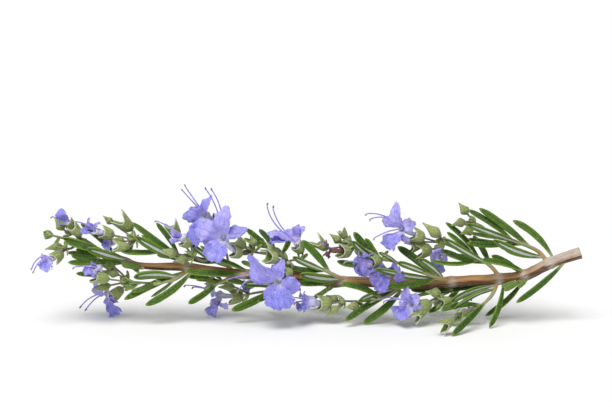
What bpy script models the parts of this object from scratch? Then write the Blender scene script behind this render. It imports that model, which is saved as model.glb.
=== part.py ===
"""A cut sprig of rosemary in flower, lying on its side.

The sprig lies along X: the cut end of its stem is at +X, its growing tip at -X, and +Z is up.
Every table below is in millimetres. A leaf row is (where on its stalk it grows, from 0 to 1;
the place of its tip; its width; how far it is turned: 0 has the green face up, 90 has it
towards -Y and -90 has the pale underside towards -Y). A calyx row is (where its foot is; where
its mouth or tip is; its greatest width; "open", "lipped" or "closed").
"""

import math

import bpy
from mathutils import Vector

MM = 0.001
# Puts the middle of the sprig over the origin and its lowest petals and leaves on z = 0.
BOX_SHIFT = Vector((1.25, -1.7, -0.45))

# The clear space between two pieces that grew on each other.
GAP = 0.35
# The sine of the flattest angle at which a piece leaves its parent.
LEAST_SINE = 0.6

STEM_SIDES = 10
STALK_SIDES = 5
LEAF_SIDES = 5
CALYX_SIDES = 6
FILAMENT_SIDES = 4

STALK_WIDTH = 1.7
STALK_TAPER = 0.6

PEDICEL_WIDTH = 0.8
PEDICEL_RINGS = 3
PEDICEL_REACH = 0.25
PEDICEL_SAG = 0.15

# Widths along a leaf as shares of its greatest width, from its foot to its tip.
LEAF_OUTLINE = (0.45, 0.95, 1.0, 0.4)
LEAF_THICKNESS = 1.0
LEAF_HUG = 0.35

# Widths along a calyx as shares of its greatest width, from its foot to its mouth or tip.
CALYX_OUTLINES = {
    "open": (0.3, 0.8, 0.95, 1.0, 1.0),
    "lipped": (0.3, 0.75, 0.9, 1.0, 1.1),
    "closed": (0.3, 0.85, 1.0, 0.75, 0.25),
}

# Widths of a flower's tube, in millimetres, from inside its calyx to its throat.
TUBE_WIDTHS = (1.3, 1.6, 2.6)
TUBE_HEEL = 1.0
PETAL_OUTLINE = (0.4, 1.0, 0.55)
PETAL_THICKNESS = 0.55
PETAL_ROOT = 0.6
PETAL_ARCH = 0.2
FILAMENT_WIDTH = 0.55
FILAMENT_RINGS = 4
FILAMENT_ROOT = 0.4
FILAMENT_ARCH = 0.12

# Points on the middle line of the main stem, from the cut end to the tip, each with the
# stem's width there.
STEM = [
    ((103, 0, 28.8), 4.2),
    ((92.5, 0, 25.4), 4.1),
    ((82, 0, 20.2), 4.0),
    ((72, 0, 17.7), 3.9),
    ((55, 0, 16.5), 3.8),
    ((40, 0, 15.6), 3.8),
    ((18, 0, 16.5), 3.7),
    ((2, 0, 16.8), 3.7),
    ((-6, 0, 18.6), 3.7),
    ((-20, 0, 19.1), 3.6),
    ((-37, 0, 20.5), 3.6),
    ((-48, 0, 22.4), 3.8),
    ((-65, 0, 22.8), 2.7),
    ((-72, 0, 26.2), 2.2),
    ((-85, 0, 30.0), 1.8),
    ((-94, 0, 33.6), 1.4),
    ((-100, 0, 35.6), 1.2),
]

# Single leaves on the main stem: (x of the foot on the stem, tip, width, turn).
STEM_LEAVES = {
    "stem_leaf_01": (91.5, (77, 2, 40), 3.0, 60),
    "stem_leaf_02": (95, (77.5, -6, 10), 2.7, 70),
    "stem_leaf_03": (83.5, (64.5, -6.5, 27), 2.8, 40),
    "stem_leaf_04": (80, (67.5, 4, 3.5), 2.6, 60),
    "stem_leaf_05": (73.5, (68, -10, 1), 2.6, 60),
    "stem_leaf_06": (70, (46.5, 3, 11.5), 2.4, 60),
    "stem_leaf_07": (-26, (-48, -6, 22), 3.0, 60),
    "stem_leaf_08": (-24, (-36, -4, 26.5), 2.6, 30),
    "stem_leaf_09": (-75, (-88, 2, 38.8), 2.5, 60),
    "stem_leaf_10": (-76, (-94, -4, 35), 2.6, -70),
    "stem_leaf_11": (-71, (-85, -7, 30.6), 3.2, -90),
    "stem_leaf_12": (-73, (-92.5, -4.5, 24.8), 2.6, 0),
}

# Leafy side shoots: (x of the foot on the stem, the rest of the stalk's middle line, leaves).
SHOOTS = {
    "side_shoot_01": (
        91,
        [(87, 2, 28), (80, 3, 31), (74, 4, 33), (67, 4, 35)],
        [
            (0.12, (69, -5, 34), 3.4, -90),
            (0.2, (74, -3, 29.5), 2.4, 30),
            (0.35, (64.5, 6, 44), 3.0, 60),
            (0.6, (60.5, 8, 43), 2.6, 50),
            (0.5, (58.5, -4, 40), 3.0, -90),
            (0.55, (59.5, -1, 32), 2.6, 80),
            (0.4, (72, 14, 37), 2.8, 0),
            (0.7, (61, 14, 33), 2.8, 20),
        ],
    ),
    "side_shoot_02": (
        73,
        [(68.5, 2, 22.5), (63.5, 2, 25.2), (58, 3, 27.8)],
        [
            (0.35, (62.5, 7, 33), 2.6, 60),
            (0.6, (51.5, 3, 39), 2.6, 50),
            (0.4, (50, -5, 34.5), 3.0, -90),
            (0.55, (45, -5, 25.5), 2.6, 30),
            (0.8, (49, 4, 26), 2.4, 20),
            (0.7, (53, 14, 33), 2.8, 0),
            (0.5, (58, 15, 24), 2.8, 0),
        ],
    ),
    "side_shoot_03": (
        72,
        [(68.5, -3, 13), (66, -4, 11), (62.5, -5.5, 8.8)],
        [
            (0.35, (53, -8, 10.3), 2.8, -90),
            (0.35, (54, -10.5, 7.9), 2.4, -60),
            (0.45, (52.5, -21, 0.9), 2.8, 60),
            (0.75, (52, -6.5, 2.4), 2.4, 20),
        ],
    ),
    "side_shoot_04": (
        64,
        [(60, 6, 13.5), (55, 9, 11)],
        [
            (0.95, (40, 20, 1), 2.8, 0),
            (0.6, (42, 13, 15), 2.8, 0),
            (0.8, (38, 12, 7), 2.8, 0),
            (0.4, (52, 22, 10), 2.8, 30),
            (0.7, (46, 9, 2), 2.6, 60),
        ],
    ),
    "side_shoot_05": (
        54,
        [(47, -4, 19.5), (40, -5.5, 22.3), (33, -6, 25.2), (30, -6, 26.2)],
        [
            (0.15, (40.5, -9.5, 27.5), 3.0, -90),
            (0.4, (32.5, -9.5, 26.2), 2.8, -90),
            (0.45, (28.5, -10.5, 24), 2.8, 20),
            (0.25, (28, -8.5, 17.3), 2.8, 80),
            (0.4, (34, 0.5, 29.7), 2.8, 60),
            (0.9, (25.5, -8.8, 30), 2.0, -60),
        ],
    ),
    "side_shoot_06": (
        36,
        [(30, -4, 12.2), (25, -5, 10.7)],
        [
            (0.4, (18, -8, 10.5), 2.6, -90),
            (0.4, (13, -8.5, 3.2), 2.8, 60),
            (0.55, (20, -4, 1), 3.2, 60),
            (0.5, (11.5, -4.5, 17), 2.6, 60),
        ],
    ),
    "side_shoot_07": (
        22,
        [(14, 7, 13), (8, 11, 10.5)],
        [
            (0.95, (-5, 24, 1), 2.8, 0),
            (0.6, (-4, 13, 16), 2.8, 0),
            (0.85, (1, 25, 10), 2.8, 0),
            (0.7, (-4, 16, 6), 2.8, 30),
            (0.5, (4, 9, 3), 2.6, 60),
        ],
    ),
    "side_shoot_08": (
        34,
        [(28, 0, 22), (24.5, 0, 26.8), (20, 0, 29.5)],
        [
            (0.7, (16.3, 1, 36), 2.8, 60),
            (0.7, (15.5, -4, 33.4), 2.8, -90),
            (0.65, (22, 6, 34), 2.4, 60),
            (0.5, (10, -1.5, 23.6), 2.6, 60),
            (0.55, (12, 9, 33), 2.8, 10),
            (0.5, (17, 13, 26), 2.8, 10),
        ],
    ),
    "side_shoot_09": (
        14,
        [(8.5, -3, 20), (4, -3.5, 22.3), (-1, -3, 23.8)],
        [
            (0.5, (-3.5, -3, 33.3), 3.2, 70),
            (0.55, (-7, -7, 27.8), 2.8, -90),
            (0.6, (-9.5, -1.5, 23), 2.4, 60),
            (0.3, (-4, -7.5, 21), 2.8, -90),
            (0.5, (-8, -4.5, 17.5), 2.4, 60),
        ],
    ),
    "side_shoot_10": (
        -5,
        [(-10, 4, 24.5), (-14.5, 5, 27.5), (-18, 5, 30)],
        [
            (0.8, (-25, 4, 36.5), 2.6, 60),
            (0.7, (-19.5, 8, 37), 2.4, 60),
            (0.6, (-8, 13, 33), 2.6, 60),
            (0.85, (-26, 12, 31), 2.8, 0),
            (0.5, (-14, 18, 26), 2.8, 0),
        ],
    ),
    "side_shoot_11": (
        -4,
        [(-9, 1.5, 14.8), (-14, 1.5, 13), (-18, 1, 12.3)],
        [
            (0.8, (-31, -4, 6.3), 3.0, 70),
            (0.85, (-22, -6, 9.5), 2.4, 60),
            (0.6, (-27, -4.5, 16.3), 2.8, 30),
            (0.7, (-22, 13, 1), 2.8, 0),
            (0.5, (-18, 12, 14), 2.8, 0),
        ],
    ),
    "side_shoot_12": (
        -29,
        [(-34, 1, 24.2), (-38, 1, 26)],
        [
            (0.3, (-46, -3, 32), 2.6, -90),
            (0.6, (-49, 1.5, 27), 2.6, 60),
            (0.6, (-43, 12, 28), 2.8, 0),
            (0.7, (-35, 11, 33), 2.6, 0),
        ],
    ),
    "side_shoot_13": (
        -28,
        [(-33.5, 0.5, 15.8), (-38, 0.5, 14)],
        [
            (0.8, (-47, -2.5, 8.5), 2.8, 70),
            (0.85, (-49, 1.5, 15.5), 2.4, 30),
            (0.6, (-45, 12, 20), 2.8, 0),
            (0.9, (-48, 9, 2), 2.6, 30),
        ],
    ),
    "side_shoot_14": (
        -46,
        [(-52, -2.5, 18), (-57, -3, 16.8)],
        [
            (0.5, (-63, -6, 8.5), 3.0, 70),
            (0.5, (-71.5, -6, 10.5), 2.4, 60),
            (0.45, (-68, -6.5, 21), 2.8, -90),
            (0.6, (-62, 6, 9), 2.8, 40),
        ],
    ),
    "side_shoot_15": (
        -45.5,
        [(-52, 2.5, 27), (-56.5, 2, 29)],
        [
            (0.5, (-68.5, 2, 39.3), 2.7, 60),
            (0.5, (-59.5, 6, 38.3), 2.3, 60),
            (0.25, (-66, -4.5, 35), 2.8, -90),
            (0.35, (-72, -4.5, 27.3), 2.4, 20),
            (0.7, (-66, 13, 32), 2.8, 0),
            (0.5, (-60, 14, 24), 2.8, 0),
        ],
    ),
    "side_shoot_16": (
        -76,
        [(-79, 3, 27), (-82, 5, 27.5)],
        [
            (0.9, (-94, 4, 27), 2.4, 30),
            (0.8, (-90, 9, 32), 2.4, 0),
            (0.6, (-86, 11, 24), 2.6, 0),
        ],
    ),
}

# Flower stalks: (the shoot or stem that it grows on, where on it, the rest of the stalk's
# middle line, calyces).
FLOWER_STALKS = {
    "flower_stalk_01": (
        "side_shoot_01",
        1,
        [(66, 4.5, 37), (63, 4.5, 38.5)],
        [
            ((60, 4.5, 42), (56.8, 4.5, 46), 4.2, "closed"),
            ((59, 3, 39.5), (54, 2, 38.2), 4.0, "closed"),
            ((62, 2.5, 36.5), (57.5, 1.5, 35), 4.4, "closed"),
        ],
    ),
    "flower_stalk_02": (
        "side_shoot_02",
        1,
        [(54, 1.5, 29.8), (51, 0.5, 31.2)],
        [
            ((49, -1, 34), (43, -1.5, 38.5), 4.4, "closed"),
            ((43.5, 0, 33.5), (38.5, 0, 35.2), 5.4, "open"),
            ((46.5, 1, 28.7), (40.5, 1.5, 27), 5.2, "lipped"),
        ],
    ),
    "flower_stalk_03": (
        "side_shoot_03",
        1,
        [(60, -9, 7.7), (56.5, -15, 8.6)],
        [
            ((53.5, -17.5, 7.8), (49.5, -19.5, 3.2), 4.8, "lipped"),
        ],
    ),
    "flower_stalk_04": (
        "side_shoot_03",
        0.3,
        [(64, -1, 11.8), (57, -2.5, 11), (50, -4, 10)],
        [
            ((46, -5, 9.4), (41, -5, 7.4), 5.4, "open"),
            ((49.5, -3, 12.6), (44, -4.5, 13.6), 4.4, "closed"),
        ],
    ),
    "flower_stalk_05": (
        "side_shoot_08",
        1,
        [(17, 1.5, 30), (15, 2, 31)],
        [
            ((15.5, 0, 28), (10.5, -2, 29), 5.4, "open"),
            ((13, 2, 33), (9.5, 2, 36.5), 3.6, "closed"),
            ((14.5, 3, 33.5), (14, 4, 37.5), 3.0, "closed"),
        ],
    ),
    "flower_stalk_06": (
        "side_shoot_06",
        1,
        [(20, -2.5, 9.4), (13, -2, 9.3)],
        [
            ((8, -3, 9.2), (3, -3, 9), 4.8, "open"),
            ((10, -1, 10.5), (6, 1, 12.5), 3.4, "closed"),
            ((10.5, -3.5, 7.5), (6, -4.5, 4.2), 3.6, "closed"),
        ],
    ),
    "flower_stalk_07": (
        "side_shoot_09",
        1,
        [(-4, -1.2, 25.5), (-9, -4.5, 25.5)],
        [
            ((-12.5, -7, 27), (-17, -9.5, 28.5), 5.2, "open"),
            ((-12, -3.5, 27.5), (-18, -4, 31), 4.2, "open"),
            ((-7, -8, 22.5), (-11, -9.5, 21.5), 4.6, "open"),
            ((-3, -1, 28), (-5.8, -1, 31), 4.4, "open"),
        ],
    ),
    "flower_stalk_08": (
        "side_shoot_10",
        0.55,
        [(-17, 1.5, 27), (-22, 0.5, 28)],
        [
            ((-25, 0, 29.8), (-29.5, 0, 33), 5.0, "open"),
            ((-26, -1.5, 27.5), (-30, -2.5, 29), 5.0, "open"),
            ((-21.5, 0.5, 30.5), (-23, -0.5, 34.5), 3.4, "closed"),
        ],
    ),
    "flower_stalk_09": (
        "side_shoot_12",
        0.25,
        [(-33, 4, 29), (-34, 4.5, 35)],
        [
            ((-35.5, 3.5, 38), (-38.5, 2.5, 41), 4.4, "open"),
        ],
    ),
    "flower_stalk_10": (
        "side_shoot_12",
        1,
        [(-41, -2.5, 25.2), (-44.5, -3.5, 27.2)],
        [
            ((-45.5, -4.5, 31.5), (-49, -5, 33.6), 4.2, "open"),
            ((-50, -1, 34.5), (-52.5, -1, 38.8), 4.0, "closed"),
            ((-51, -4.5, 28.3), (-56, -5, 30), 4.6, "closed"),
            ((-47, -5, 26.8), (-52, -5.5, 25.6), 3.8, "closed"),
        ],
    ),
    "flower_stalk_11": (
        "side_shoot_15",
        1,
        [(-60.5, -0.3, 30), (-67, 0.6, 33)],
        [
            ((-68.5, 3.5, 37), (-73, 3.5, 41.5), 4.8, "lipped"),
            ((-76, 4.2, 38.4), (-79.5, 5, 41), 3.2, "closed"),
            ((-75, 0, 34.5), (-80, -0.5, 36.2), 5.0, "open"),
            ((-69, -2.6, 30.6), (-75, -3.4, 31.2), 4.2, "open"),
        ],
    ),
    "flower_stalk_12": (
        "main_stem",
        -88,
        [(-89.5, 1, 34), (-91, 1, 35)],
        [
            ((-94.5, 1, 36.5), (-97.5, 1, 41), 4.2, "closed"),
            ((-90.5, 1.5, 36.8), (-93, 1.5, 40), 4.0, "open"),
        ],
    ),
    "flower_stalk_13": (
        "main_stem",
        -89,
        [(-91, -2.5, 30.2), (-93, -3, 30)],
        [
            ((-95, -1, 31), (-101, -1, 29.5), 3.6, "closed"),
            ((-94, -5, 29.2), (-97.5, -5.5, 26.6), 4.8, "open"),
        ],
    ),
    "flower_stalk_14": (
        "side_shoot_14",
        1,
        [(-63, -1, 16.2), (-70, 0, 16.5)],
        [
            ((-76.5, -6, 18.8), (-83, -7, 20.3), 5.0, "open"),
            ((-73.5, -1, 19.5), (-79.5, -1.5, 21), 3.6, "closed"),
            ((-76.5, -3, 15.8), (-83, -4, 14.6), 4.0, "closed"),
            ((-73, 7, 12.2), (-77, 9, 8.6), 4.6, "open"),
        ],
    ),
    "flower_stalk_15": (
        "side_shoot_11",
        1,
        [(-21.5, 5, 10.8), (-24, 7, 9.8)],
        [
            ((-26.5, 8, 9.3), (-31.5, 8, 9.4), 5.0, "open"),
            ((-29.5, 6, 13), (-35.5, 6, 12.8), 3.8, "closed"),
        ],
    ),
    "flower_stalk_16": (
        "side_shoot_05",
        1,
        [(27.8, -6.2, 26.6), (26.8, -6.4, 26.8)],
        [
            ((27, -6.4, 26.8), (22.8, -6.8, 25.9), 4.8, "open"),
        ],
    ),
}

# Flowers: the calyx that each sits in, its throat, the tips of its petals with their widths
# (hood, side and lip petals in turn), and the tips of its stamens and style.
FLOWERS = {
    "flower_01": (
        ("flower_stalk_02", 1),
        (34, -3, 37),
        [
            ((32.3, -2, 47.5), 4.6),
            ((39.5, -3, 40.5), 4.2),
            ((28.5, -6, 36), 3.4),
            ((35.5, -5.5, 31.5), 3.4),
            ((30.5, -6, 30.5), 7.0),
        ],
        [(21, -6, 44.5), (22, -7.5, 41.5)],
    ),
    "flower_02": (
        ("flower_stalk_05", 0),
        (7.5, -3, 29.5),
        [((5.5, -3.5, 32), 3.0), ((6.5, -4, 26.5), 3.0)],
        [(3.5, -4, 33)],
    ),
    "flower_03": (
        ("flower_stalk_04", 0),
        (38.5, -6, 9.3),
        [
            ((36, -6.5, 15.5), 3.6),
            ((40, -8, 13), 3.2),
            ((39.5, -9.5, 5.5), 2.8),
            ((35, -8, 8.5), 2.8),
            ((34.5, -7, 3), 6.0),
        ],
        [(26, -8.5, 12.8), (28, -10, 11.6)],
    ),
    "flower_04": (
        ("flower_stalk_07", 3),
        (-8, -2, 34),
        [
            ((-15.6, -3, 36.5), 3.4),
            ((-15, -4.5, 31.8), 3.4),
            ((-5.3, -3, 38.5), 3.2),
            ((-3.2, 0, 37.5), 3.2),
            ((-9, -6.5, 31.5), 5.5),
        ],
        [(-16.7, -1, 46), (-14, -2.5, 45)],
    ),
    "flower_05": (
        ("flower_stalk_07", 2),
        (-12.5, -10, 17.5),
        [
            ((-22, -10, 25.5), 4.0),
            ((-23, -11, 22.5), 4.0),
            ((-17, -12.5, 14.5), 3.4),
            ((-6, -12, 15.5), 3.4),
            ((-10.5, -12, 8.5), 9.0),
        ],
        [(-31, -9, 19.5), (-27.5, -11, 15.8)],
    ),
    "flower_06": (
        ("flower_stalk_06", 0),
        (0, -3.5, 9.2),
        [
            ((-4.5, -4.5, 11.5), 4.0),
            ((-4.5, -6, 6), 6.0),
        ],
        [(-6, -4, 13.5)],
    ),
    "flower_07": (
        ("flower_stalk_09", 0),
        (-41.5, 0.5, 42.5),
        [
            ((-39, 0, 49), 3.6),
            ((-47.5, -0.5, 46), 3.6),
            ((-48, -1.5, 41.5), 3.4),
            ((-43, -5, 41), 3.4),
            ((-45, -3.5, 35.5), 5.5),
        ],
        [(-48.3, 1, 54), (-50, 3, 52)],
    ),
    "flower_08": (
        ("flower_stalk_08", 1),
        (-34, -4.5, 33.5),
        [
            ((-31.5, -5, 46), 4.6),
            ((-40.5, -7, 38), 4.4),
            ((-25.5, -5, 37.5), 3.4),
            ((-38.5, -8, 32), 3.4),
            ((-36.5, -9.5, 26), 7.0),
        ],
        [(-38.5, -5.5, 53), (-36, -4, 53.5)],
    ),
    "flower_09": (
        ("flower_stalk_15", 0),
        (-34.5, 8.5, 9.5),
        [
            ((-38, 7, 17), 3.4),
            ((-38.5, 11, 14), 3.2),
            ((-35.5, 4.5, 7), 2.8),
            ((-37, 13, 7), 2.8),
            ((-38, 9.5, 1), 6.0),
        ],
        [(-47, 5.5, 14), (-45, 7.5, 12.8)],
    ),
    "flower_10": (
        ("flower_stalk_12", 1),
        (-94.5, 1.8, 42),
        [((-95.5, 1, 45), 3.6), ((-92.5, 3, 44.5), 3.2)],
        [(-98, 2.5, 45)],
    ),
    "flower_11": (
        ("flower_stalk_11", 2),
        (-82.5, -1, 37),
        [
            ((-85, 1, 41), 3.2),
            ((-86.5, -3.5, 36.5), 3.6),
        ],
        [(-90.5, 0.5, 40.5)],
    ),
    "flower_12": (
        ("flower_stalk_13", 1),
        (-99, -6, 25.3),
        [((-102.5, -6, 25), 3.2), ((-101.5, -6, 20.8), 5.0)],
        [(-106, -6, 22), (-104.5, -7.5, 21)],
    ),
    "flower_13": (
        ("flower_stalk_14", 3),
        (-79, 10, 7.2),
        [
            ((-84.5, 8, 13.5), 3.4),
            ((-83.5, 12, 12), 3.2),
            ((-80.5, 6, 4), 2.8),
            ((-79, 14, 4), 2.8),
            ((-75.5, 11.5, 1), 5.5),
        ],
        [(-89.5, 9.5, 5.5), (-88, 11, 4.2)],
    ),
    "flower_14": (
        ("flower_stalk_14", 0),
        (-85, -7.2, 21.5),
        [((-83, -6, 24.5), 3.0), ((-87.5, -8, 20.5), 3.0)],
        [(-90, -7, 24)],
    ),
    "flower_15": (
        ("flower_stalk_16", 0),
        (20.2, -7.4, 24.4),
        [
            ((17.2, -6, 26.5), 5.5),
            ((17.8, -8.5, 22), 5.0),
            ((22.5, -9, 20), 4.5),
            ((24.3, -6.4, 16.2), 5.0),
            ((30.5, -5.4, 20.5), 4.0),
        ],
        [(13, -6.5, 25)],
    ),
}

COLOURS = {
    "main_stem": (0.36, 0.22, 0.12, 1),
    "stem_leaf": (0.09, 0.22, 0.05, 1),
    "side_shoot": (0.12, 0.26, 0.07, 1),
    "flower_stalk": (0.36, 0.42, 0.16, 1),
    "flower": (0.28, 0.27, 0.78, 1),
}
ROUGHNESS = {
    "main_stem": 0.8,
    "stem_leaf": 0.5,
    "side_shoot": 0.5,
    "flower_stalk": 0.75,
    "flower": 0.6,
}


def kind_of(name):
    """A node's kind is its name without the number."""
    return name if name == "main_stem" else name.rsplit("_", 1)[0]


def clear_scene():
    for obj in list(bpy.data.objects):
        bpy.data.objects.remove(obj, do_unlink=True)


def material_for(name):
    kind = kind_of(name)
    material = bpy.data.materials.new(name)
    material.use_nodes = True
    shader = material.node_tree.nodes["Principled BSDF"]
    shader.inputs["Base Color"].default_value = COLOURS[kind]
    shader.inputs["Roughness"].default_value = ROUGHNESS[kind]
    shader.inputs["Metallic"].default_value = 0.0
    return material


def point_on(path, share):
    """The point and the direction at a share, from 0 to 1, of a path's length."""
    lengths = [(b - a).length for a, b in zip(path, path[1:])]
    left = share * sum(lengths)
    for a, b, length in zip(path, path[1:], lengths):
        if left <= length or b is path[-1]:
            break
        left -= length
    direction = (b - a).normalized()
    return a + direction * min(left, length), direction


def smooth_path(points, steps):
    """A Catmull-Rom curve through the points, with this many steps between two of them."""
    points = [points[0] * 2 - points[1]] + points + [points[-1] * 2 - points[-2]]
    path = []
    for p0, p1, p2, p3 in zip(points, points[1:], points[2:], points[3:]):
        for step in range(steps):
            t = step / steps
            path.append(
                p1
                + (p2 - p0) * (t / 2)
                + (p0 * 2 - p1 * 5 + p2 * 4 - p3) * (t * t / 2)
                + (p1 * 3 - p0 - p2 * 3 + p3) * (t * t * t / 2)
            )
    return path + [points[-2]]


def bow(start, middle, end, rings):
    """A quadratic curve from start to end that leans towards middle."""
    steps = [i / (rings - 1) for i in range(rings)]
    return [start * (1 - t) ** 2 + middle * (2 * t * (1 - t)) + end * t**2 for t in steps]


def face_normal(direction, turn):
    """The way a blade's green face looks, for a blade that runs along direction."""
    up = Vector((0, 0, 1))
    up = (up - direction * up.dot(direction)).normalized()
    front = up.cross(direction)
    if front.y > 0:
        front = -front
    angle = math.radians(turn)
    return up * math.cos(angle) + front * math.sin(angle)


def sweep(path, widths, thicknesses, sides, normal=None):
    """Rings of an oval section along a path, joined and closed, as (points, faces)."""
    points = []
    for i, centre in enumerate(path):
        ahead = path[min(i + 1, len(path) - 1)] - path[max(i - 1, 0)]
        ahead.normalize()
        if normal is None:
            normal = ahead.orthogonal()
        normal = (normal - ahead * normal.dot(ahead)).normalized()
        across = normal.cross(ahead)
        for side in range(sides):
            angle = 2 * math.pi * side / sides
            points.append(
                centre
                + across * (math.cos(angle) * widths[i] / 2)
                + normal * (math.sin(angle) * thicknesses[i] / 2)
            )
    faces = [tuple(range(sides))[::-1]]
    for ring in range(len(path) - 1):
        for side in range(sides):
            a = ring * sides + side
            b = ring * sides + (side + 1) % sides
            faces.append((a, b, b + sides, a + sides))
    faces.append(tuple(range(len(points) - sides, len(points))))
    return points, faces


def blade(start, tip, width, turn, leaving):
    """A leaf: it leaves its stalk nearly along leaving, then bends outwards to its tip."""
    straight = (tip - start).normalized()
    half = (tip - start).length / 2
    middle = start + (straight + leaving * LEAF_HUG).normalized() * half
    return sweep(
        bow(start, middle, tip, len(LEAF_OUTLINE)),
        [width * share for share in LEAF_OUTLINE],
        [LEAF_THICKNESS * (1 + share) / 2 for share in LEAF_OUTLINE],
        LEAF_SIDES,
        face_normal(straight, turn),
    )


def cup(foot, mouth, width, style):
    """A calyx: a bell that widens to its mouth, or a closed bud."""
    outline = CALYX_OUTLINES[style]
    path = [foot.lerp(mouth, i / (len(outline) - 1)) for i in range(len(outline))]
    widths = [width * share for share in outline]
    return sweep(path, widths, widths, CALYX_SIDES)


def tube(path, widths, sides):
    return sweep(path, widths, widths, sides)


def way_out(axis, along, toward):
    """The direction in which a piece leaves its parent: never flatter than LEAST_SINE."""
    out = (toward - axis).normalized()
    forward = along * out.dot(along)
    sideways = out - forward
    sine = max(sideways.length, LEAST_SINE)
    cosine = math.copysign(math.sqrt(1 - sine * sine), out.dot(along))
    return sideways.normalized() * sine + along * cosine


def start_beside(axis, along, toward, parent_width, width):
    """Where a piece leaves the line of its parent, so that its end stays GAP off the surface.

    A slanting piece has to start further out, by the slant and by its own end's edge.
    """
    out = way_out(axis, along, toward)
    cosine = abs(out.dot(along))
    sine = math.sqrt(1 - cosine * cosine)
    return axis + out * ((parent_width / 2 + GAP + cosine * width / 2) / sine)


def start_beyond(end, along, toward, parent_width, width):
    """Where a piece starts that carries on from its parent's end, GAP off it."""
    out = (toward - end).normalized()
    sine = out.cross(along).length
    return end + out * (GAP + sine * (parent_width + width) / 2)


def stem_point(x):
    """The point and direction on the main stem's line at this x."""
    line = [Vector(point) for point, _ in STEM]
    for a, b in zip(line, line[1:]):
        if b.x <= x:
            break
    return a.lerp(b, (x - a.x) / (b.x - a.x)), (b - a).normalized()


def stem_width(x):
    for (a, width_a), (b, width_b) in zip(STEM, STEM[1:]):
        if b[0] <= x:
            break
    return width_a + (width_b - width_a) * (x - a[0]) / (b[0] - a[0])


def mesh_object(name, shape):
    """A mesh object from a shape in millimetres."""
    points, faces = shape
    mesh = bpy.data.meshes.new(name)
    mesh.from_pydata([(point + BOX_SHIFT) * MM for point in points], [], faces)
    mesh.shade_smooth()
    obj = bpy.data.objects.new(name, mesh)
    bpy.context.scene.collection.objects.link(obj)
    return obj


def grown_together(name, shapes):
    """One node from overlapping shapes: the first is the object, the rest are joined to it."""
    obj = mesh_object(name, shapes[0])
    obj.data.materials.append(material_for(name))
    if len(shapes) > 1:
        group = bpy.data.collections.new(name + "_parts")
        bpy.context.scene.collection.children.link(group)
        group.hide_render = True
        for number, shape in enumerate(shapes[1:], 1):
            part = mesh_object(f"{name}_part_{number}", shape)
            bpy.context.scene.collection.objects.unlink(part)
            group.objects.link(part)
            part.hide_render = True
            part.display_type = "WIRE"
        union = obj.modifiers.new("join", "BOOLEAN")
        union.operation = "UNION"
        union.solver = "EXACT"
        union.operand_type = "COLLECTION"
        union.collection = group
    return obj


def make_main_stem():
    path = smooth_path([Vector(point) for point, _ in STEM], 2)
    widths = []
    for (_, a), (_, b) in zip(STEM, STEM[1:]):
        widths += [a, (a + b) / 2]
    widths.append(STEM[-1][1])
    grown_together("main_stem", [tube(path, widths, STEM_SIDES)])


def make_stem_leaf(name, x, tip, width, turn):
    axis, along = stem_point(x)
    tip = Vector(tip)
    start = start_beside(axis, along, tip, stem_width(x), width * LEAF_OUTLINE[0])
    leaving = way_out(axis, along, tip)
    grown_together(name, [blade(start, tip, width, turn, leaving)])


def shoot_path(name):
    x, points, _ = SHOOTS[name]
    points = [Vector(point) for point in points]
    start = start_beside(*stem_point(x), points[0], stem_width(x), STALK_WIDTH)
    return smooth_path([start] + points, 2)


def make_shoot(name):
    path = shoot_path(name)
    narrowing = (1 - STALK_TAPER) / (len(path) - 1)
    widths = [STALK_WIDTH * (1 - narrowing * i) for i in range(len(path))]
    shapes = [tube(path, widths, STALK_SIDES)]
    for share, tip, width, turn in SHOOTS[name][2]:
        start, along = point_on(path, share)
        shapes.append(blade(start, Vector(tip), width, turn, along))
    grown_together(name, shapes)


def flower_stalk_path(name):
    parent, place, points, _ = FLOWER_STALKS[name]
    points = [Vector(point) for point in points]
    if parent == "main_stem":
        start = start_beside(*stem_point(place), points[0], stem_width(place), PEDICEL_WIDTH)
    elif place == 1:
        end, along = point_on(shoot_path(parent), 1)
        start = start_beyond(end, along, points[0], STALK_WIDTH * STALK_TAPER, PEDICEL_WIDTH)
    else:
        axis, along = point_on(shoot_path(parent), place)
        start = start_beside(axis, along, points[0], STALK_WIDTH, PEDICEL_WIDTH)
    return smooth_path([start] + points, 2)


def make_flower_stalk(name):
    path = flower_stalk_path(name)
    shapes = [tube(path, [PEDICEL_WIDTH] * len(path), STALK_SIDES)]
    for foot, mouth, width, style in FLOWER_STALKS[name][3]:
        foot, mouth = Vector(foot), Vector(mouth)
        nearest = min(path[1:], key=lambda point: (point - foot).length)
        middle = (nearest + foot) / 2 - (mouth - foot) * PEDICEL_SAG
        pedicel = bow(nearest, middle, foot.lerp(mouth, PEDICEL_REACH), PEDICEL_RINGS)
        shapes.append(tube(pedicel, [PEDICEL_WIDTH] * PEDICEL_RINGS, STALK_SIDES))
        shapes.append(cup(foot, mouth, width, style))
    grown_together(name, shapes)


def petal(throat, tip, width, centre):
    """A petal: it leaves the throat, spreads and curls back a little at its tip."""
    length = (tip - throat).length
    forward = (throat - centre).normalized()
    middle = (throat + tip) / 2 + forward * length * PETAL_ARCH
    path = bow(throat - forward * PETAL_ROOT, middle, tip, len(PETAL_OUTLINE))
    outward = (tip - throat).cross(forward).cross(tip - throat).normalized()
    return sweep(
        path,
        [width * share for share in PETAL_OUTLINE],
        [PETAL_THICKNESS] * len(PETAL_OUTLINE),
        LEAF_SIDES,
        outward,
    )


def filament(throat, tip, forward):
    """A stamen or the style: it arches out of the throat."""
    length = (tip - throat).length
    middle = (throat + tip) / 2 + Vector((0, 0, 1)) * length * FILAMENT_ARCH
    path = bow(throat - forward * FILAMENT_ROOT, middle, tip, FILAMENT_RINGS)
    return tube(path, [FILAMENT_WIDTH] * FILAMENT_RINGS, FILAMENT_SIDES)


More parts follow.
